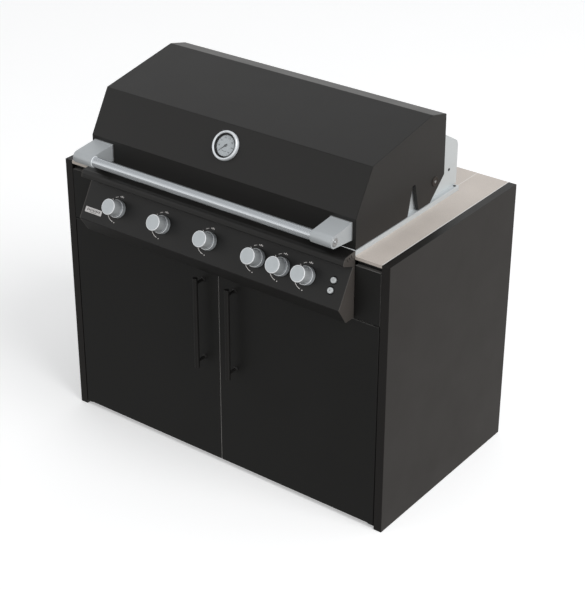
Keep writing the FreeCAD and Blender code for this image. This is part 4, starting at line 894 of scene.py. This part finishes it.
for tag, sx in (("left", -1), ("right", 1)):
    d_lo, d_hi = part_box("door_panel_" + tag)
    zl, zh = d_lo.z / MM, d_hi.z / MM
    inner = (d_hi.x if sx < 0 else d_lo.x) / MM
    outer = (d_lo.x if sx < 0 else d_hi.x) / MM
    band("door_highlight_meet_" + tag, "door_" + tag, ((min(inner, inner - sx * 0.5), 0.5, zl + 1),
                                                  (max(inner, inner - sx * 0.5), 4.0, zh - 1)), "painted_edge_highlight_pale")
    band("door_highlight_top_" + tag, "door_" + tag, ((min(inner, outer) + 1, 0.5, zh), (max(inner, outer) - 1, 17.0,
                                                                                   zh + 0.4)))
f_lo, f_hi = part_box("fascia_panels")
for tag, sx in (("left", -1), ("right", 1)):
    x0, x1 = (498.5, f_hi.x / MM - 0.5) if sx > 0 else (f_lo.x / MM + 0.5, -498.5)
    band("fascia_highlight_top_" + tag, "cabinet", ((x0, 0.5, f_hi.z / MM), (x1, 17.5, f_hi.z / MM + 0.5)))
    xe = f_hi.x / MM if sx > 0 else f_lo.x / MM - 0.5
    band("fascia_highlight_end_" + tag, "cabinet", ((xe, 0.5, f_lo.z / MM + 0.5), (xe + 0.5, 17.5, f_hi.z / MM - 0.5)))

# ------------------------------------------------------------------- stage
bm = bmesh.new()
bmesh.ops.create_grid(bm, x_segments=24, y_segments=24, size=45.0)
mesh = bpy.data.meshes.new("floor")
bm.to_mesh(mesh)
bm.free()
floor = bpy.data.objects.new("floor", mesh)
floor.location = (0, 0, -0.0004)
SCENE.collection.objects.link(floor)
fm, fnt, fb = material("floor_pale", Specular_IOR_Level=0.0)
fv = coords(fnt)
fn = noise(fnt, fv, 1.5, 3.0, 0.5)
fnt.links.new(ramp(fnt, fn, [(0.3, (0.895, 0.895, 0.895)), (0.7, (0.905, 0.905, 0.905))]), fb.inputs["Base Color"])
fb.inputs["Roughness"].default_value = 1.0
fb.inputs["Emission Color"].default_value = (1, 1, 1, 1)
fb.inputs["Emission Strength"].default_value = 0.31
mesh.materials.append(fm)
floor.visible_diffuse = False
floor.visible_glossy = False

floor.visible_shadow = False

# A soft studio all round: pale above and to the right, dimmer low down in front.
world = bpy.data.worlds.new("studio")
SCENE.world = world
world.use_nodes = True
wn = world.node_tree
for n in list(wn.nodes):
    wn.nodes.remove(n)
wo = wn.nodes.new("ShaderNodeOutputWorld")
bg = wn.nodes.new("ShaderNodeBackground")
tc = wn.nodes.new("ShaderNodeTexCoord")
sep = wn.nodes.new("ShaderNodeSeparateXYZ")
wn.links.new(tc.outputs["Generated"], sep.inputs[0])


def world_math(kind, first, second, third=None):
    m = wn.nodes.new("ShaderNodeMath")
    m.operation = kind
    for socket, value in zip(m.inputs, (first, second, third)):
        if value is None:
            continue
        if isinstance(value, float):
            socket.default_value = value
        else:
            wn.links.new(value, socket)
    return m.outputs[0]


def world_ramp(value, stops):
    r = wn.nodes.new("ShaderNodeValToRGB")
    els = r.color_ramp.elements
    els[0].position, els[0].color = stops[0][0], (*stops[0][1], 1)
    els[1].position, els[1].color = stops[-1][0], (*stops[-1][1], 1)
    for pos, col in stops[1:-1]:
        els.new(pos).color = (*col, 1)
    wn.links.new(value, r.inputs["Fac"])
    return r.outputs["Color"]


sky = world_ramp(sep.outputs["Z"], [(0.0, (1.20, 1.19, 1.17)), (0.2, (1.00, 1.00, 1.00)), (0.38, (0.84, 0.845, 0.85)),
                                 (0.68, (0.50, 0.505, 0.51)), (1.0, (0.42, 0.43, 0.44))])
across = world_math("MULTIPLY_ADD", sep.outputs["X"], 0.80, world_math("MULTIPLY", sep.outputs["Y"], 0.60))
low = world_ramp(world_math("MULTIPLY_ADD", across, 1.0, 0.5),
                 [(0.0, (0.27, 0.27, 0.268)), (0.20, (0.27, 0.27, 0.268)), (0.50, (0.32, 0.315, 0.31)),
                  (0.90, (0.62, 0.60, 0.58)), (1.0, (0.62, 0.60, 0.58))])
side = world_math("MULTIPLY_ADD", sep.outputs["Z"], 8.0, 1.0)
side_clamp = wn.nodes.new("ShaderNodeClamp")
wn.links.new(side, side_clamp.inputs[0])
blend = wn.nodes.new("ShaderNodeMix")
blend.data_type = "RGBA"
wn.links.new(side_clamp.outputs[0], blend.inputs[0])
nadir = wn.nodes.new("ShaderNodeMapRange")
nadir.inputs[1].default_value = -0.97
nadir.inputs[2].default_value = -0.72
nadir.inputs[3].default_value = 0.45
nadir.inputs[4].default_value = 1.0
wn.links.new(sep.outputs["Z"], nadir.inputs[0])
shade = wn.nodes.new("ShaderNodeVectorMath")
shade.operation = "SCALE"
wn.links.new(low, shade.inputs[0])
wn.links.new(nadir.outputs[0], shade.inputs["Scale"])
wn.links.new(shade.outputs[0], blend.inputs[6])
wn.links.new(sky, blend.inputs[7])
wn.links.new(blend.outputs[2], bg.inputs["Color"])
bg.inputs["Strength"].default_value = 1.0
wn.links.new(bg.outputs[0], wo.inputs["Surface"])


def soft_light(name, place, aim, size, power, colour=(1, 1, 1)):
    data = bpy.data.lights.new(name, "AREA")
    data.shape = "DISK"
    data.size = size
    data.energy = power
    data.color = colour
    o = bpy.data.objects.new(name, data)
    o.location = place
    o.rotation_mode = "QUATERNION"
    o.rotation_quaternion = (Vector(aim) - Vector(place)).to_track_quat("-Z", "Y")
    SCENE.collection.objects.link(o)
    return o


soft_light("key_light", (5.2, -0.9, 6.4), (0, 0, 0.8), 4.5, 300.0)

# ------------------------------------------------------------------ camera
cam = bpy.data.cameras.new("camera")
cam.sensor_fit = "AUTO"
cam.sensor_width = 36.0
cam.lens = 1656.65 * 36.0 / 590.0
cam.shift_x = (292.5 - 280.89) / 590.0
cam.shift_y = -(295.0 - 283.96) / 590.0
cam.clip_start, cam.clip_end = 0.05, 200.0
camera = bpy.data.objects.new("camera", cam)
SCENE.collection.objects.link(camera)
right, up, back = Vector((0.7967, 0.6043, 0.0)), Vector((-0.2869, 0.3782, 0.8801)), Vector((0.5318, -0.7012, 0.4747))
right.normalize()
back.normalize()
up = back.cross(right).normalized()
camera.matrix_world = Matrix((
    (right.x, up.x, back.x, 2.81374),
    (right.y, up.y, back.y, -3.69335),
    (right.z, up.z, back.z, 3.02827),
    (0, 0, 0, 1)))
SCENE.camera = camera

bpy.context.view_layer.update()
